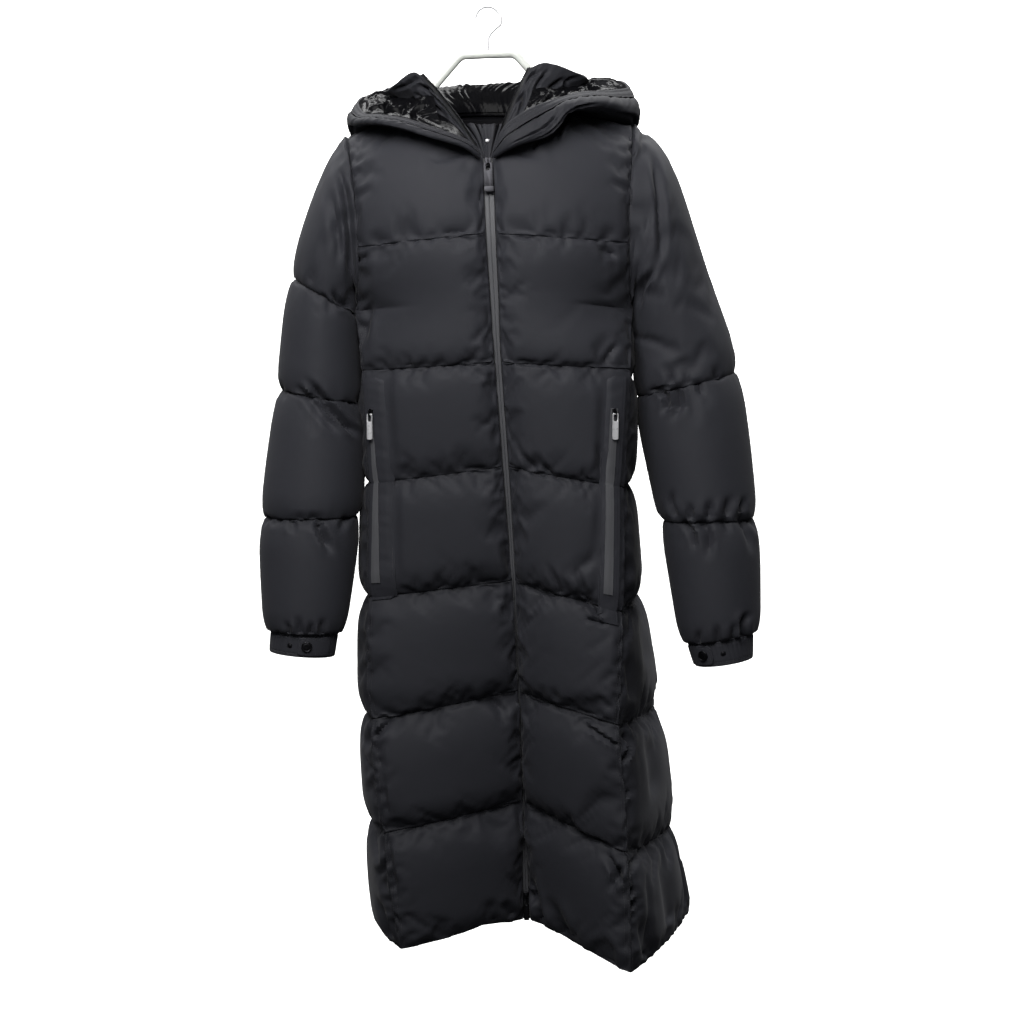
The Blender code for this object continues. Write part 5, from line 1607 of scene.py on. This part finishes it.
# folds in the hood's own places (station, part of the way from its foot to its rim)
hoodFolds = [
    ((0.6, 0.2), (1.6, 0.42), (3.0, 0.5), 6, 2.6, 0.2, 0.4),
    ((0.9, 0.6), (2.2, 0.72), (4.2, 0.74), 6, 2.4, 0.2, 0.4),
    ((2.6, 0.3), (3.8, 0.42), (5.2, 0.4), 7, 2.4, 0.3, 0.4),
    ((4.6, 0.55), (5.6, 0.66), (6.6, 0.62), 8, 2.8, 0.3, 0.4),
    ((6.2, 0.3), (6.9, 0.46), (7.6, 0.62), 10, 4.0, 0.3, 0.4),
    ((7.0, 0.75), (7.5, 0.62), (7.95, 0.5), 9, 3.4, 0.3, 0.2),
    ((8.1, 0.52), (9.0, 0.66), (10.2, 0.68), 12, 4.5, 0.2, 0.4),
    ((11.9, 0.48), (11.0, 0.60), (10.0, 0.60), 12, 4.0, 0.2, 0.4),
    ((8.2, 0.34), (9.2, 0.44), (10.4, 0.43), 11, 3.5, 0.3, 0.4),
    ((12.0, 0.5), (12.6, 0.66), (13.1, 0.74), 9, 3.4, 0.2, 0.3),
    ((12.4, 0.62), (13.2, 0.46), (13.9, 0.3), 10, 4.0, 0.4, 0.3),
    ((13.5, 0.62), (14.4, 0.66), (15.4, 0.55), 8, 3.0, 0.3, 0.4),
    ((15.2, 0.35), (16.2, 0.5), (17.2, 0.52), 6, 3.2, 0.4, 0.3),
    ((16.4, 0.3), (17.4, 0.42), (18.6, 0.4), 5, 3.6, 0.3, 0.3),
    ((16.0, 0.72), (17.2, 0.66), (18.6, 0.62), 5, 3.6, 0.3, 0.3),
    ((17.3, 0.86), (18.2, 0.80), (19.3, 0.76), 5, 3.0, 0.3, 0.3),
    ((18.2, 0.2), (18.8, 0.36), (19.5, 0.5), 5, 3.0, 0.3, 0.2),
]


def hoodGrid(stations, parts):
    # parts from 0 to 1 lie on the main panels and from 1 to 2 on the stitched edge
    heights = np.linalg.norm(collarTop - collarFoot, axis=1)
    columns = stations / hoodEnd * (len(heights) - 1)
    height = np.interp(columns, np.arange(len(heights)), heights)
    rise = hoodShape["footHeight"] / height
    away = collarShape["wall"] / 2 + collarShape["puff"] * 0.8 + hoodShape["footClear"]
    foot = gridAt(footGrid, rise * (len(footGrid) - 1), columns)
    foot = foot + unit(gridAt(footNormal, rise * (len(footGrid) - 1), columns)) * away
    back = hoodEnd // 2
    fold = bothSides(stations, back, lambda side, places: curveAt(hoodShape[side], places)[:, 0])
    rim = bothSides(stations, back, lambda side, places: curveAt(hoodShape[side], places)[:, 1])
    control = 2 * fold - (foot + rim) / 2
    share = np.minimum(hoodShape["edgeMost"], hoodShape["edge"] / (2 * np.linalg.norm(rim - control, axis=1)))
    rise = np.where(parts[:, None] <= 1, parts[:, None] * (1 - share), 1 - share + (parts[:, None] - 1) * share)
    rise = rise[..., None]
    return (1 - rise) ** 2 * foot + 2 * rise * (1 - rise) * control + rise**2 * rim


footGrid = collarBase(np.linspace(0, collarEnd, 121), np.linspace(0, 1, 41))
footNormal = outwardNormals(footGrid)
collarFoot, collarTop = footGrid[0], footGrid[-1]
neckMiddle = np.array([0, 20, -160])


def hoodWalls(stations, wall):
    full = np.minimum(1, fromFront(stations, hoodEnd) / 3)
    return hoodShape["frontWall"] + (wall - hoodShape["frontWall"]) * full


def hoodNormals(grid):
    outside = np.zeros_like(grid)
    outside[-1] = grid[-1] - neckMiddle
    return gridNormals(grid, outside)


def makeHood():
    parts = np.concatenate([np.linspace(0, 1, 49), [1.3, 1.6, 2.0]])
    stations = np.linspace(0, hoodEnd, 401)
    whole = hoodGrid(stations, parts)
    normal = hoodNormals(whole)
    size = hoodShape["size"]
    down = np.linspace(0, 1, 49)
    seams = (0, 160, 240, 400)
    for name, start, end in zip(("left", "centre", "right"), seams, seams[1:]):
        span = slice(start, end + 1)
        base = whole[:len(down), span].copy()
        facing = normal[:len(down), span]
        own = stations[span]
        stopShort(base, start=name != "left", end=name != "right", gap=hoodShape["gap"])
        base[-1] += unit(base[-2] - base[-1]) * hoodShape["gap"]
        walls = hoodWalls(own, hoodShape["wall"])[None]
        fromStart = 99.0 if name == "left" else (own - own[0]) * size[0]
        fromEnd = 99.0 if name == "right" else (own[-1] - own) * size[0]
        fromSeam = np.minimum(fromStart, fromEnd)
        full = np.minimum(1, fromFront(own, hoodEnd) / 3)[None]
        pinch = np.exp(-fromSeam / 4)[None] + np.exp(-(1 - down) * size[1] / 4)[:, None]
        lift = full * (1.6 - 1.9 * np.clip(pinch, 0, 1))
        gathers = waves(own[None] * size[0] + 60 * down[:, None], 8, 81 + start)
        lift = lift + gathers * (0.35 + 0.9 * np.exp(-(1 - down) * size[1] / 16))[:, None] * np.clip(full, 0.3, 1)
        outer = base + facing * (walls / 2 + lift)[..., None]
        outer = pressOwnFolds(outer, facing, own, down, size, hoodFolds, np.clip(full, 0.25, 1))
        inner = base - facing * (walls / 2)[..., None]
        crinkle = waves(own[None] * size[0] + 25 * np.sin(down * 9)[:, None], 10, 91 + start)
        inner = inner - facing * (np.abs(crinkle) * 1.4 * full * np.sin(down * math.pi)[:, None])[..., None]
        panel = clothWall(f"hoodPanel_{name}", f"hood_{name}", outer, inner, ("shellSoft", "lining"))
    # the stitched edge: two rows of stitching, the cloth a little full between them
    parts = np.linspace(1, 2, 15)
    base = hoodGrid(stations, parts)
    facing = hoodNormals(base)
    base[0] += unit(base[1] - base[0]) * hoodShape["gap"]
    walls = hoodWalls(stations, hoodShape["edgeWall"])[None]
    way = (parts - 1)[:, None]
    width = np.linalg.norm(base[-1] - base[0], axis=1)[None]
    rows = (0.22, 0.72)
    dip = sum(hill((way - row) * width, 0, 1.1) for row in rows) * 0.75
    bulge = 0.7 * (1 - roll((1 - way) * width, 2.5)) * (1 - roll(way * width, 2.0))
    puckers = waves(stations[None] * size[0] + 6 * way, 5.5, 97) * 0.3
    near = np.clip(fromFront(stations, hoodEnd) / 1.5, 0.4, 1)[None]
    outer = base + facing * (walls / 2 + (bulge + puckers - dip) * near)[..., None]
    inner = base - facing * (walls / 2)[..., None]
    rim = clothWall("hoodRim", "hood_edge", outer, inner, ("shellSoft", "shellSoft"))
    for row in rows:
        place = np.full(len(stations), row * (len(parts) - 1))
        spots = gridAt(outer, place, np.arange(len(stations)))
        stitchAlong(spots, gridAt(facing, place, np.arange(len(stations))))


makeHood()

# the hood's own lining shows in its mouth on both sides: thin, loose and crumpled
hoodLining = {
    "rises": (0.55, 0.95), "sags": (5.0, -9.0), "wall": 1.0, "columns": 121, "rows": 31, "size": (38, 60),
    "ends": {"left": (1.6, 8.4), "right": (11.6, 18.4)},
}
# folds in its own places (station, part of the way from the collar to the rim)
hoodLiningFolds = [
    ((2.2, 0.2), (2.8, 0.5), (2.6, 0.85), 6, 3.6, 0.2, 0.3),
    ((3.4, 0.1), (3.6, 0.45), (4.2, 0.8), 7, 4.4, 0.2, 0.3),
    ((4.6, 0.2), (4.4, 0.5), (5.0, 0.9), 6, 4.2, 0.2, 0.3),
    ((3.0, 0.62), (3.9, 0.58), (4.8, 0.66), 5, 3.0, 0.3, 0.3),
    ((5.6, 0.1), (5.9, 0.5), (5.7, 0.9), 8, 4.6, 0.2, 0.3),
    ((6.8, 0.15), (7.2, 0.5), (7.0, 0.9), 9, 5.0, 0.2, 0.3),
    ((12.8, 0.15), (13.1, 0.5), (12.9, 0.9), 9, 5.0, 0.2, 0.3),
    ((14.1, 0.1), (13.9, 0.5), (14.4, 0.9), 8, 4.4, 0.2, 0.3),
    ((14.9, 0.35), (15.8, 0.42), (16.4, 0.3), 5, 3.6, 0.3, 0.3),
    ((15.2, 0.1), (15.5, 0.5), (15.3, 0.9), 7, 4.4, 0.2, 0.3),
    ((16.3, 0.15), (16.6, 0.55), (16.2, 0.9), 6, 4.0, 0.2, 0.3),
    ((17.2, 0.2), (17.4, 0.5), (17.8, 0.85), 6, 3.4, 0.2, 0.3),
]
for side, (start, end) in hoodLining["ends"].items():
    own = np.linspace(start, end, hoodLining["columns"])
    parts = np.linspace(0, 1, hoodLining["rows"])
    columns = own / hoodEnd * (footGrid.shape[1] - 1)
    low, high = hoodLining["rises"]
    row = (low + (high - low) * smooth(fromFront(own, hoodEnd), 3, 5.5)) * (len(footGrid) - 1)
    near = gridAt(footGrid, row, columns) + unit(gridAt(footNormal, row, columns)) * 4
    rim = hoodGrid(own, np.array([1.9]))[0]
    base = near[None] + (rim - near)[None] * parts[:, None, None]
    low, high = hoodLining["sags"]
    sag = low + (high - low) * smooth(fromFront(own, hoodEnd), 3.5, 5.8)
    base[..., 2] -= sag * np.sin(parts * math.pi)[:, None] ** 0.8
    facing = gridNormals(base, np.array([0, 0, 1.0]))
    crinkle = waves(own[None] * hoodLining["size"][0] + 22 * np.sin(parts * 7)[:, None], 9, 151) * 1.1
    crinkle = crinkle + waves(own[None] * 9 + 75 * parts[:, None], 13, 152) * 0.8
    within = np.sin(parts * math.pi)[:, None] ** 0.5
    crumpled = base + facing * (crinkle * within)[..., None]
    loose = pressOwnFolds(crumpled, facing, own, parts, hoodLining["size"], hoodLiningFolds, within)
    thick = facing * hoodLining["wall"] / 2
    inside = clothWall(f"hoodLining_{side}", None, loose + thick, loose - thick, ("lining", "lining"))
    height = np.linalg.norm(np.diff(loose, axis=0), axis=2).sum(axis=0).mean()

# Inner collar, gathered in upright pleats that end at a small bright stud
innerCollar = {
    "rows": ((4, -89.4, -213), (24, -77, -182), (46, -62, -159)),
    "wall": 2.0, "columns": 129, "down": 31, "pleat": 2.2, "pitch": 6.5, "halfRun": 44,
}
parts = np.linspace(-1, 1, innerCollar["columns"])
down = np.linspace(0, 2, innerCollar["down"])
halfWidth, depth, height = curveAt(innerCollar["rows"], down).T
run = parts * innerCollar["halfRun"]
innerGrid = np.stack([
    halfWidth[:, None] * parts,
    depth[:, None] + 8 * parts**2,
    height[:, None] + 4 * parts**2 + 1.6 * np.clip(down - 1.7, 0, 1)[:, None] * waves(run, 15, 103),
], axis=-1)
innerNormal = gridNormals(innerGrid, np.array([0, -1.0, 0]))
pleats = waves(run[None] + 3 * down[:, None], innerCollar["pitch"], 101)
pleats = pleats * innerCollar["pleat"] * (0.18 + 0.5 * down)[:, None] * (1 - np.abs(parts) ** 6)
hem = 0.5 * hill((2 - down) * 30, 4, 0.8)[:, None]
innerOuter = innerGrid + innerNormal * (innerCollar["wall"] / 2 + pleats - hem)[..., None]
innerInner = innerGrid - innerNormal * (innerCollar["wall"] / 2 + np.minimum(pleats, 0))[..., None]
gathered = clothWall("gatheredCollar", "inner_collar", innerOuter, innerInner, ("shellSoft", "lining"))
studRow = (innerCollar["down"] - 1) // 2
studSpot = innerGrid[studRow, innerCollar["columns"] // 2]
studWay = innerNormal[studRow, innerCollar["columns"] // 2]
pearl = ((0, 2.0), (0.9, 1.9), (1.7, 1.5), (2.3, 0.9), (2.6, 0.3), (2.5, 0), (0, 0))
turned("collarStud", "inner_collar_stud", pearl, studSpot + studWay * 2.2, studWay, "brightMetal", sides=24)
print("hood ready")


# Zips: two laminated tapes meet at the coil's line, with a soft ridge over the coil
tapeLook = {
    "length": 1030, "wall": 1.5, "near": 0.15, "ridge": 0.12, "under": 3.0, "columns": 10, "spacing": 3.2,
}


def makeTape(side, seed):
    sign = -1 if side == "left" else 1
    length = tapeLook["length"]
    places = np.linspace(chest, len(levels) - 1, round(length / tapeLook["spacing"]))
    middle, gap = zipMiddle(places)
    across = np.linspace(0, 1, tapeLook["columns"])
    width = tapeLook["near"] + (gap[:, None] + tapeLook["under"] - tapeLook["near"]) * across
    base = np.repeat(middle[:, None], len(across), axis=1)
    base[..., 0] += sign * width
    run = np.linspace(0, length, len(places))
    wavy = waves(run, 26, seed) * 0.35 + waves(run, 90, seed + 1) * 0.3
    lip = tapeLook["ridge"] * hill(width, 1.6, 1.0) - 0.35 * hill(width, 0, 0.5)
    # its outer part runs back under the fronts
    base[..., 1] += 3.0 * smooth(width - gap[:, None], -1.0, 0.3) + zipCover["behind"] * covered(places)[:, None]
    front = base.copy()
    back = base.copy()
    front[..., 1] -= tapeLook["wall"] / 2 - 0.1 + lip + 0.25 * wavy[:, None] * across
    back[..., 1] += tapeLook["wall"] / 2 - 0.3
    clothWall(f"frontZipTape_{side}", f"zip_tape_{side}", front, back, ("tape", "tape"))


for side, seed in (("left", 111), ("right", 121)):
    makeTape(side, seed)

# the open part of the zip runs up both collar edges, its teeth standing on the tape's lip
teeth = {
    "pitch": 2.15, "size": (2.4, 1.35, 1.875), "widths": (1.2, 1.2, 2.6, 3.0, 1.6), "wall": 1.2, "out": 0.3,
    "start": 0.12,
}
teethFrames = []
for side, edge, following in (("left", 0, 1), ("right", -1, -2)):
    rows = len(collarGrid)
    start = round(teeth["start"] * (rows - 1))
    line = collarGrid[start:, edge]
    facing = collarNormal[start:, edge]
    along = unit(np.gradient(line, axis=0))
    outwards = unit(np.cross(facing, along))
    if np.sum(outwards * (line - collarGrid[start:, following])) < 0:
        outwards = -outwards
    widths = np.interp(np.linspace(teeth["start"], 1, len(line)), (0.0, 0.12, 0.4, 0.7, 1.0), teeth["widths"])
    shares = np.linspace(0, 1, 5)
    base = line[:, None] + outwards[:, None] * ((widths[:, None] + 1.6) * shares - 1.0)[..., None]
    bend = waves(np.arange(len(line)) * 3.0, 24, 131)[:, None] * shares[None] * 0.5
    base = base + facing[:, None] * bend[..., None]
    thick = facing[:, None] * teeth["wall"] / 2
    clothWall(
        f"openZipTape_{side}", f"collar_tape_{side}", base + thick, base - thick, ("darkTape", "darkTape")
    )
    lip = base[:, -1]
    run = runAlong(lip)
    stops = np.arange(4, run[-1] - 1, teeth["pitch"])
    out, up = unit(between(stops, run, outwards)), unit(between(stops, run, facing))
    spots = between(stops, run, lip) + out * teeth["out"]
    long, thin, high = teeth["size"]
    teethFrames.extend(np.stack([out * long, np.cross(up, out) * thin, up * high, spots], axis=-1))
bm = bmesh.new()
bmesh.ops.create_cube(bm, size=1)
copies(bm, teethFrames)
finishMesh("zipTeeth", bm, ["darkMetal"], smoothShaded=False)
print("tapes ready")


# Sliders, bridges and pulls: width, thickness and height, then the pull's width and length
fittings = {
    "main": {"slider": (9.4, 4, 11.5), "pull": (12.2, 38), "finish": "darkMetal", "block": 8},
    "bottom": {"slider": (7.4, 4, 10), "pull": (7.2, 31), "finish": "darkMetal", "block": 0},
    "pocket": {"slider": (6.4, 3, 9), "pull": (8.0, 33), "finish": "brightMetal", "block": 0},
}
bridge = {"radius": 0.8, "stand": 5.0, "leg": 4.2, "corner": 1.2}
pullLook = {"thick": 1.8, "axisStand": 2.2, "eye": (5.0, 1.0, 9.6), "seat": 0.35, "round": 1.7, "edge": 0.35}
sliderTaper = 0.62
rest = 0.4


def bevelEdges(bm, edges, width, segments):
    bmesh.ops.bevel(bm, geom=edges, offset=width * mm, segments=segments, profile=0.5, affect="EDGES")


def sweep(bm, path, radius, sideways, sides=14):
    # a round bar along a path that lies in one plane, `sideways` to it
    path = np.asarray(path, dtype=float)
    along = unit(np.gradient(path, axis=0))
    upward = np.cross(along, np.asarray(sideways, dtype=float))
    turns = np.linspace(0, 2 * math.pi, sides, endpoint=False)
    rings = path[:, None] + radius * (
        np.cos(turns)[None, :, None] * np.asarray(sideways, dtype=float)
        + np.sin(turns)[None, :, None] * unit(upward)[:, None]
    )
    spots = gridMesh(bm, len(path), sides, True)
    for vert, (row, column) in spots.items():
        vert.co = rings[row, column] * mm
    bmesh.ops.holes_fill(bm, edges=[edge for edge in bm.edges if edge.is_boundary])


def rounded(points, radius, count=7):
    # a path of straight runs with its corners rounded
    points = np.asarray(points, dtype=float)
    path = [points[0]]
    for before, corner, after in zip(points, points[1:], points[2:]):
        back, ahead = before - corner, after - corner
        reach = min(radius, np.linalg.norm(back) * 0.45, np.linalg.norm(ahead) * 0.45)
        first = corner + unit(back) * reach
        last = corner + unit(ahead) * reach
        for part in np.linspace(0, 1, count):
            path.append((1 - part) ** 2 * first + 2 * part * (1 - part) * corner + part**2 * last)
    return np.array([*path, points[-1]])


def place(bm, centre, turn):
    matrix = Matrix.Translation(Vector(centre) * mm) @ turn.to_matrix().to_4x4()
    bmesh.ops.transform(bm, matrix=matrix, verts=bm.verts)


def makeFitting(name, kind, centre, turn):
    # centre is the middle of the slider's back; it faces -Y with its top up before it is turned
    shape = fittings[kind]
    width, thick, height = shape["slider"]
    axes = np.array(turn.to_matrix())
    facing, upward = -axes[:, 1], axes[:, 2]
    leg, stand, corner = bridge["leg"], bridge["stand"], bridge["corner"]
    hang = -leg + bridge["radius"] + pullLook["thick"] / 2 + pullLook["seat"]
    pivot = next(joint["pos_m"] for joint in frame["joints"] if joint["name"] == f"{name}_pull")
    pivot = np.array(pivot) / mm
    # the pull's axis lies exactly on its joint
    centre = centre + pivot - (centre + facing * (thick + pullLook["axisStand"]) + upward * hang)
    bm = bmesh.new()
    bmesh.ops.create_cube(bm, size=1)
    bmesh.ops.scale(bm, vec=Vector((width, thick, height)) * mm, verts=bm.verts)
    lower = [vert for vert in bm.verts if vert.co.z < 0]
    bmesh.ops.scale(bm, vec=(sliderTaper, 1, 1), verts=lower)
    upright = [edge for edge in bm.edges if abs(edge.verts[0].co.y - edge.verts[1].co.y) > thick * mm / 2]
    bevelEdges(bm, upright, 1.6, 4)
    faces = [edge for edge in bm.edges if abs(edge.verts[0].co.y - edge.verts[1].co.y) < 1e-6]
    bevelEdges(bm, faces, 0.55, 3)
    place(bm, centre + facing * thick / 2, turn)
    finishMesh(f"{name}Slider", bm, ["darkMetal"], f"{name}_slider")

    bm = bmesh.new()
    route = [(0, 0.6, leg), (0, -stand, leg), (0, -stand, -leg), (0, 0.6, -leg)]
    sweep(bm, rounded(route, corner * 1.6), bridge["radius"], (1, 0, 0))
    place(bm, centre + facing * thick, turn)
    finishMesh(f"{name}Bridge", bm, ["darkMetal"], f"{name}_bridge")

    wide, long = shape["pull"]
    slotWide, slotTop, slotBottom = pullLook["eye"]
    columns = (-wide / 2, -slotWide / 2, slotWide / 2, wide / 2)
    rows = (pullLook["thick"] / 2, -slotTop, -slotBottom, -long)
    bm = bmesh.new()
    bmesh.ops.create_grid(bm, x_segments=3, y_segments=3, size=1)
    eye = min(bm.faces, key=lambda face: face.calc_center_median().length)
    bmesh.ops.delete(bm, geom=[eye], context="FACES")
    for vert in bm.verts:
        column, row = round((vert.co.x + 1) / 2 * 3), round((1 - vert.co.y) / 2 * 3)
        vert.co = Vector((columns[column], pullLook["thick"] / 2, rows[row])) * mm
    made = bmesh.ops.extrude_face_region(bm, geom=bm.faces[:], use_keep_orig=True)
    moved = [item for item in made["geom"] if isinstance(item, bmesh.types.BMVert)]
    bmesh.ops.translate(bm, vec=(0, -pullLook["thick"] * mm, 0), verts=moved)
    bmesh.ops.recalc_face_normals(bm, faces=bm.faces)

    def turnsCorner(edge):
        flat = [face for face in edge.link_faces if abs(face.normal.y) < 0.1]
        return len(flat) == 2 and flat[0].normal.dot(flat[1].normal) < 0.5
    bevelEdges(bm, [edge for edge in bm.edges if turnsCorner(edge)], pullLook["round"], 5)
    rims = [
        edge for edge in bm.edges
        if len(edge.link_faces) == 2 and abs(edge.link_faces[0].normal.dot(edge.link_faces[1].normal)) < 0.1
        and any(abs(face.normal.y) > 0.9 for face in edge.link_faces)
    ]
    bevelEdges(bm, rims, pullLook["edge"], 2)
    if shape["block"]:
        # a moulded block round the lower end
        block = bmesh.ops.create_cube(bm, size=1)["verts"]
        bmesh.ops.scale(bm, vec=Vector((wide + 0.7, pullLook["thick"] + 1.0, shape["block"])) * mm, verts=block)
        bmesh.ops.translate(bm, vec=(0, 0, (-long + shape["block"] / 2 + 0.1) * mm), verts=block)
        corners = {edge for vert in block for edge in vert.link_edges}
        bevelEdges(bm, list(corners), 0.6, 3)
    place(bm, centre + facing * (thick + pullLook["axisStand"]) + upward * hang, turn)
    finishMesh(f"{name}Pull", bm, [shape["finish"]], f"{name}_pull", body=f"{name}_pull")


for name, height in (("main", -210), ("bottom", -1187)):
    where = np.interp(-height, [-row[2] for row in zipLine], np.arange(chest, len(levels)))
    middle = zipMiddle(np.array([where]))[0][0].copy()
    above = zipMiddle(np.array([max(where - 0.02, chest)]))[0][0]
    below = zipMiddle(np.array([where + 0.02]))[0][0]
    way = above - below
    tilt = min(0.0, -math.atan2(way[1], way[2]))
    middle[1] -= tapeLook["wall"] / 2 + rest * (1 if tilt else 2)
    makeFitting(name, name, middle, Euler((tilt, math.atan2(way[0], way[2]), 0)))


def layStrip(front, places, across, spacing):
    # points and normals of a firm strip: it faces a little further forward than the cloth under it
    # and bridges the dips of its quilting
    points, facing = onPanel(front, np.repeat(places[:, None], across.shape[1], axis=1), across)
    facing = unit(facing - np.array([0, stripLook["forward"], 0]))
    flat = points.copy()
    for _ in range(round(2 * (stripLook["reach"] / spacing) ** 2)):
        flat[1:-1] = (flat[:-2] + 2 * flat[1:-1] + flat[2:]) / 4
    dip = np.sum((flat - points) * facing, axis=-1)
    return points + facing * (0.5 * (dip + np.sqrt(dip**2 + 1.0)))[..., None], facing


# Pockets: a welt laid on the front, the grey tape on it and the slider at its top
stripLook = {"forward": 0.6, "reach": 22}
weltLook = {
    "wide": 32.0, "tall": 284.0, "rows": 110, "columns": 23, "corner": 9.0, "puckers": 0.7, "stitched": 3.0,
}
for seed, side in enumerate(("left", "right")):
    shape = pockets[side]
    front = f"front_{side}"
    (inner, outerEdgeAt), (top, bottom) = shape["welt"], shape["ends"]
    places = np.linspace(top, bottom, weltLook["rows"])
    spread = np.linspace(0, 1, weltLook["columns"])
    wide, tall = weltLook["wide"], weltLook["tall"]
    fromTop = (places - top) / (bottom - top) * tall
    ends = np.minimum(fromTop, tall - fromTop)
    inwards = np.clip(1 - ends / weltLook["corner"], 0, 1)
    cut = weltLook["corner"] / wide * (1 - np.sqrt(1 - inwards**2))
    share = spread[None] * (1 - cut[:, None]) + cut[:, None]
    across = inner + (outerEdgeAt - inner) * share
    points, facing = layStrip(front, places, across, tall / len(places))
    fromEdge = np.minimum(np.minimum(spread[None] * wide, (1 - spread[None]) * wide), ends[:, None])
    puckers = waves(fromTop[:, None] + 10 * spread[None], 14, 141 + seed) * weltLook["puckers"]
    puff = 0.8 * (1 - roll(fromEdge, 1.6)) - 0.55 * hill(fromEdge, weltLook["stitched"], 0.8)
    foot = points + facing * pocketZip["weltLift"]
    # its inner edge is sewn in flush above, and shows as a step only near its foot
    flush = 2.6 * (1 - smooth(spread, 0.0, 0.35))[None] * (1 - smooth(fromTop, tall - 70, tall - 30))[:, None]
    lift = pocketZip["weltWall"] - 0.7 + puff + puckers * np.clip(fromEdge / 8, 0, 1) * 0.5 - flush
    over = foot + facing * lift[..., None]
    under = foot - facing * (0.3 + flush)[..., None]
    welt = clothWall(f"pocketWelt_{side}", f"pocket_welt_{side}", over, under, ("shell", "shell"))
    rows = np.arange(84, 106, 1.0)
    column = np.full(len(rows), weltLook["stitched"] / wide * (weltLook["columns"] - 1))
    stitchAlong(gridAt(over, rows, column), gridAt(facing, rows, column))

    start, end = pocketZip["ends"]
    places = np.linspace(start, end, 90)
    first, last = shape["tape"]
    middles = np.linspace(0, 1, 9)
    narrow, broad = shape["grow"]
    grow = narrow + (broad - narrow) * np.clip((places - start) / (end - start), 0, 1)[:, None]
    across = (first + last) / 2 + (last - first) * (middles[None] - 0.5) * grow
    points, facing = layStrip(front, places, across, pocketZip["rowSpacing"])
    ridge = 0.5 * hill(middles, 0.5, 0.16) - 0.45 * hill(middles, 0.5, 0.035)
    lift = pocketZip["weltLift"] + pocketZip["weltWall"] + rest
    foot = points + facing * (lift - 0.4)
    over = points + facing * (lift + pocketZip["tapeWall"] - 0.1 + ridge[None])[..., None]
    clothWall(f"pocketTape_{side}", f"pocket_tape_{side}", over, foot, ("tape", "tape"))
    low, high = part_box(f"pocket_{side}_slider")
    axis = next(joint["axis"] for joint in frame["joints"] if joint["name"] == f"pocket_{side}_pull")
    turn = Euler((0, 0, math.atan2(-axis[1], -axis[0])))
    towards = np.array([math.sin(turn.z), -math.cos(turn.z), 0])
    centre = np.array((low + high) / 2) / mm - towards * fittings["pocket"]["slider"][1] / 2
    makeFitting(f"pocket_{side}", "pocket", centre, turn)
print("zips ready")


# Hanger: x and z of the right half of the bar, from the middle of its neck to the shoulder tip
hangerLook = {
    "bar": (
        (0, -60), (33, -60.5), (39, -64), (76, -105), (76.5, -128), (77, -150),
        (90, -160), (140, -163.5), (164, -167.5),
    ),
    "tilt": 0.035, "radius": 5.6, "hookRadius": 2.2, "bend": 17, "corner": 7,
}
half = [np.array([x, 0, z], dtype=float) for x, z in hangerLook["bar"]]
bar = [point * np.array([-1, 1, 1]) for point in half[:0:-1]] + half
bar = [point + np.array([0, 0, hangerLook["tilt"] * point[0]]) for point in bar]
bm = bmesh.new()
sweep(bm, rounded(bar, hangerLook["corner"], 6), hangerLook["radius"], (0, 1, 0), 28)
bevelEdges(bm, [edge for edge in bm.edges if any(len(face.verts) > 4 for face in edge.link_faces)], 1.6, 4)
finishMesh("hangerBar", bm, ["plastic"], "hanger")
middle = hangerLook["hookRadius"] - hangerLook["bend"]
turns = np.radians(np.linspace(-10, 180, 40))
bend = [(-hangerLook["bend"] * math.cos(turn), 0, middle + hangerLook["bend"] * math.sin(turn)) for turn in turns]
shank = [(17, 0, middle), (17, 0, middle - 6), (6, 0, middle - 15), (0, 0, middle - 23)]
barTop = hangerLook["bar"][0][1] + hangerLook["radius"]
lower = rounded([*shank, (0, 0, barTop + 0.3)], 5, 6)
bm = bmesh.new()
sweep(bm, [*bend, *lower[1:]], hangerLook["hookRadius"], (0, 1, 0), 20)
finishMesh("hangerHook", bm, ["brightMetal"], "hanger_hook")

# double stitching down the corner seams, on the front's side of each
for side, top in (("left", armpit + 0.1), ("right", 7.1)):
    for inset in (0.012, 0.034):
        places = np.linspace(top, 9.98, 160)
        stitchAlong(*onPanel(f"front_{side}", places, np.full(len(places), 1 - inset)))
bm = bmesh.new()
bmesh.ops.create_uvsphere(bm, u_segments=5, v_segments=4, radius=1)
copies(bm, stitches)
finishMesh("stitches", bm, ["thread"])
print("trim ready")

low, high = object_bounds()
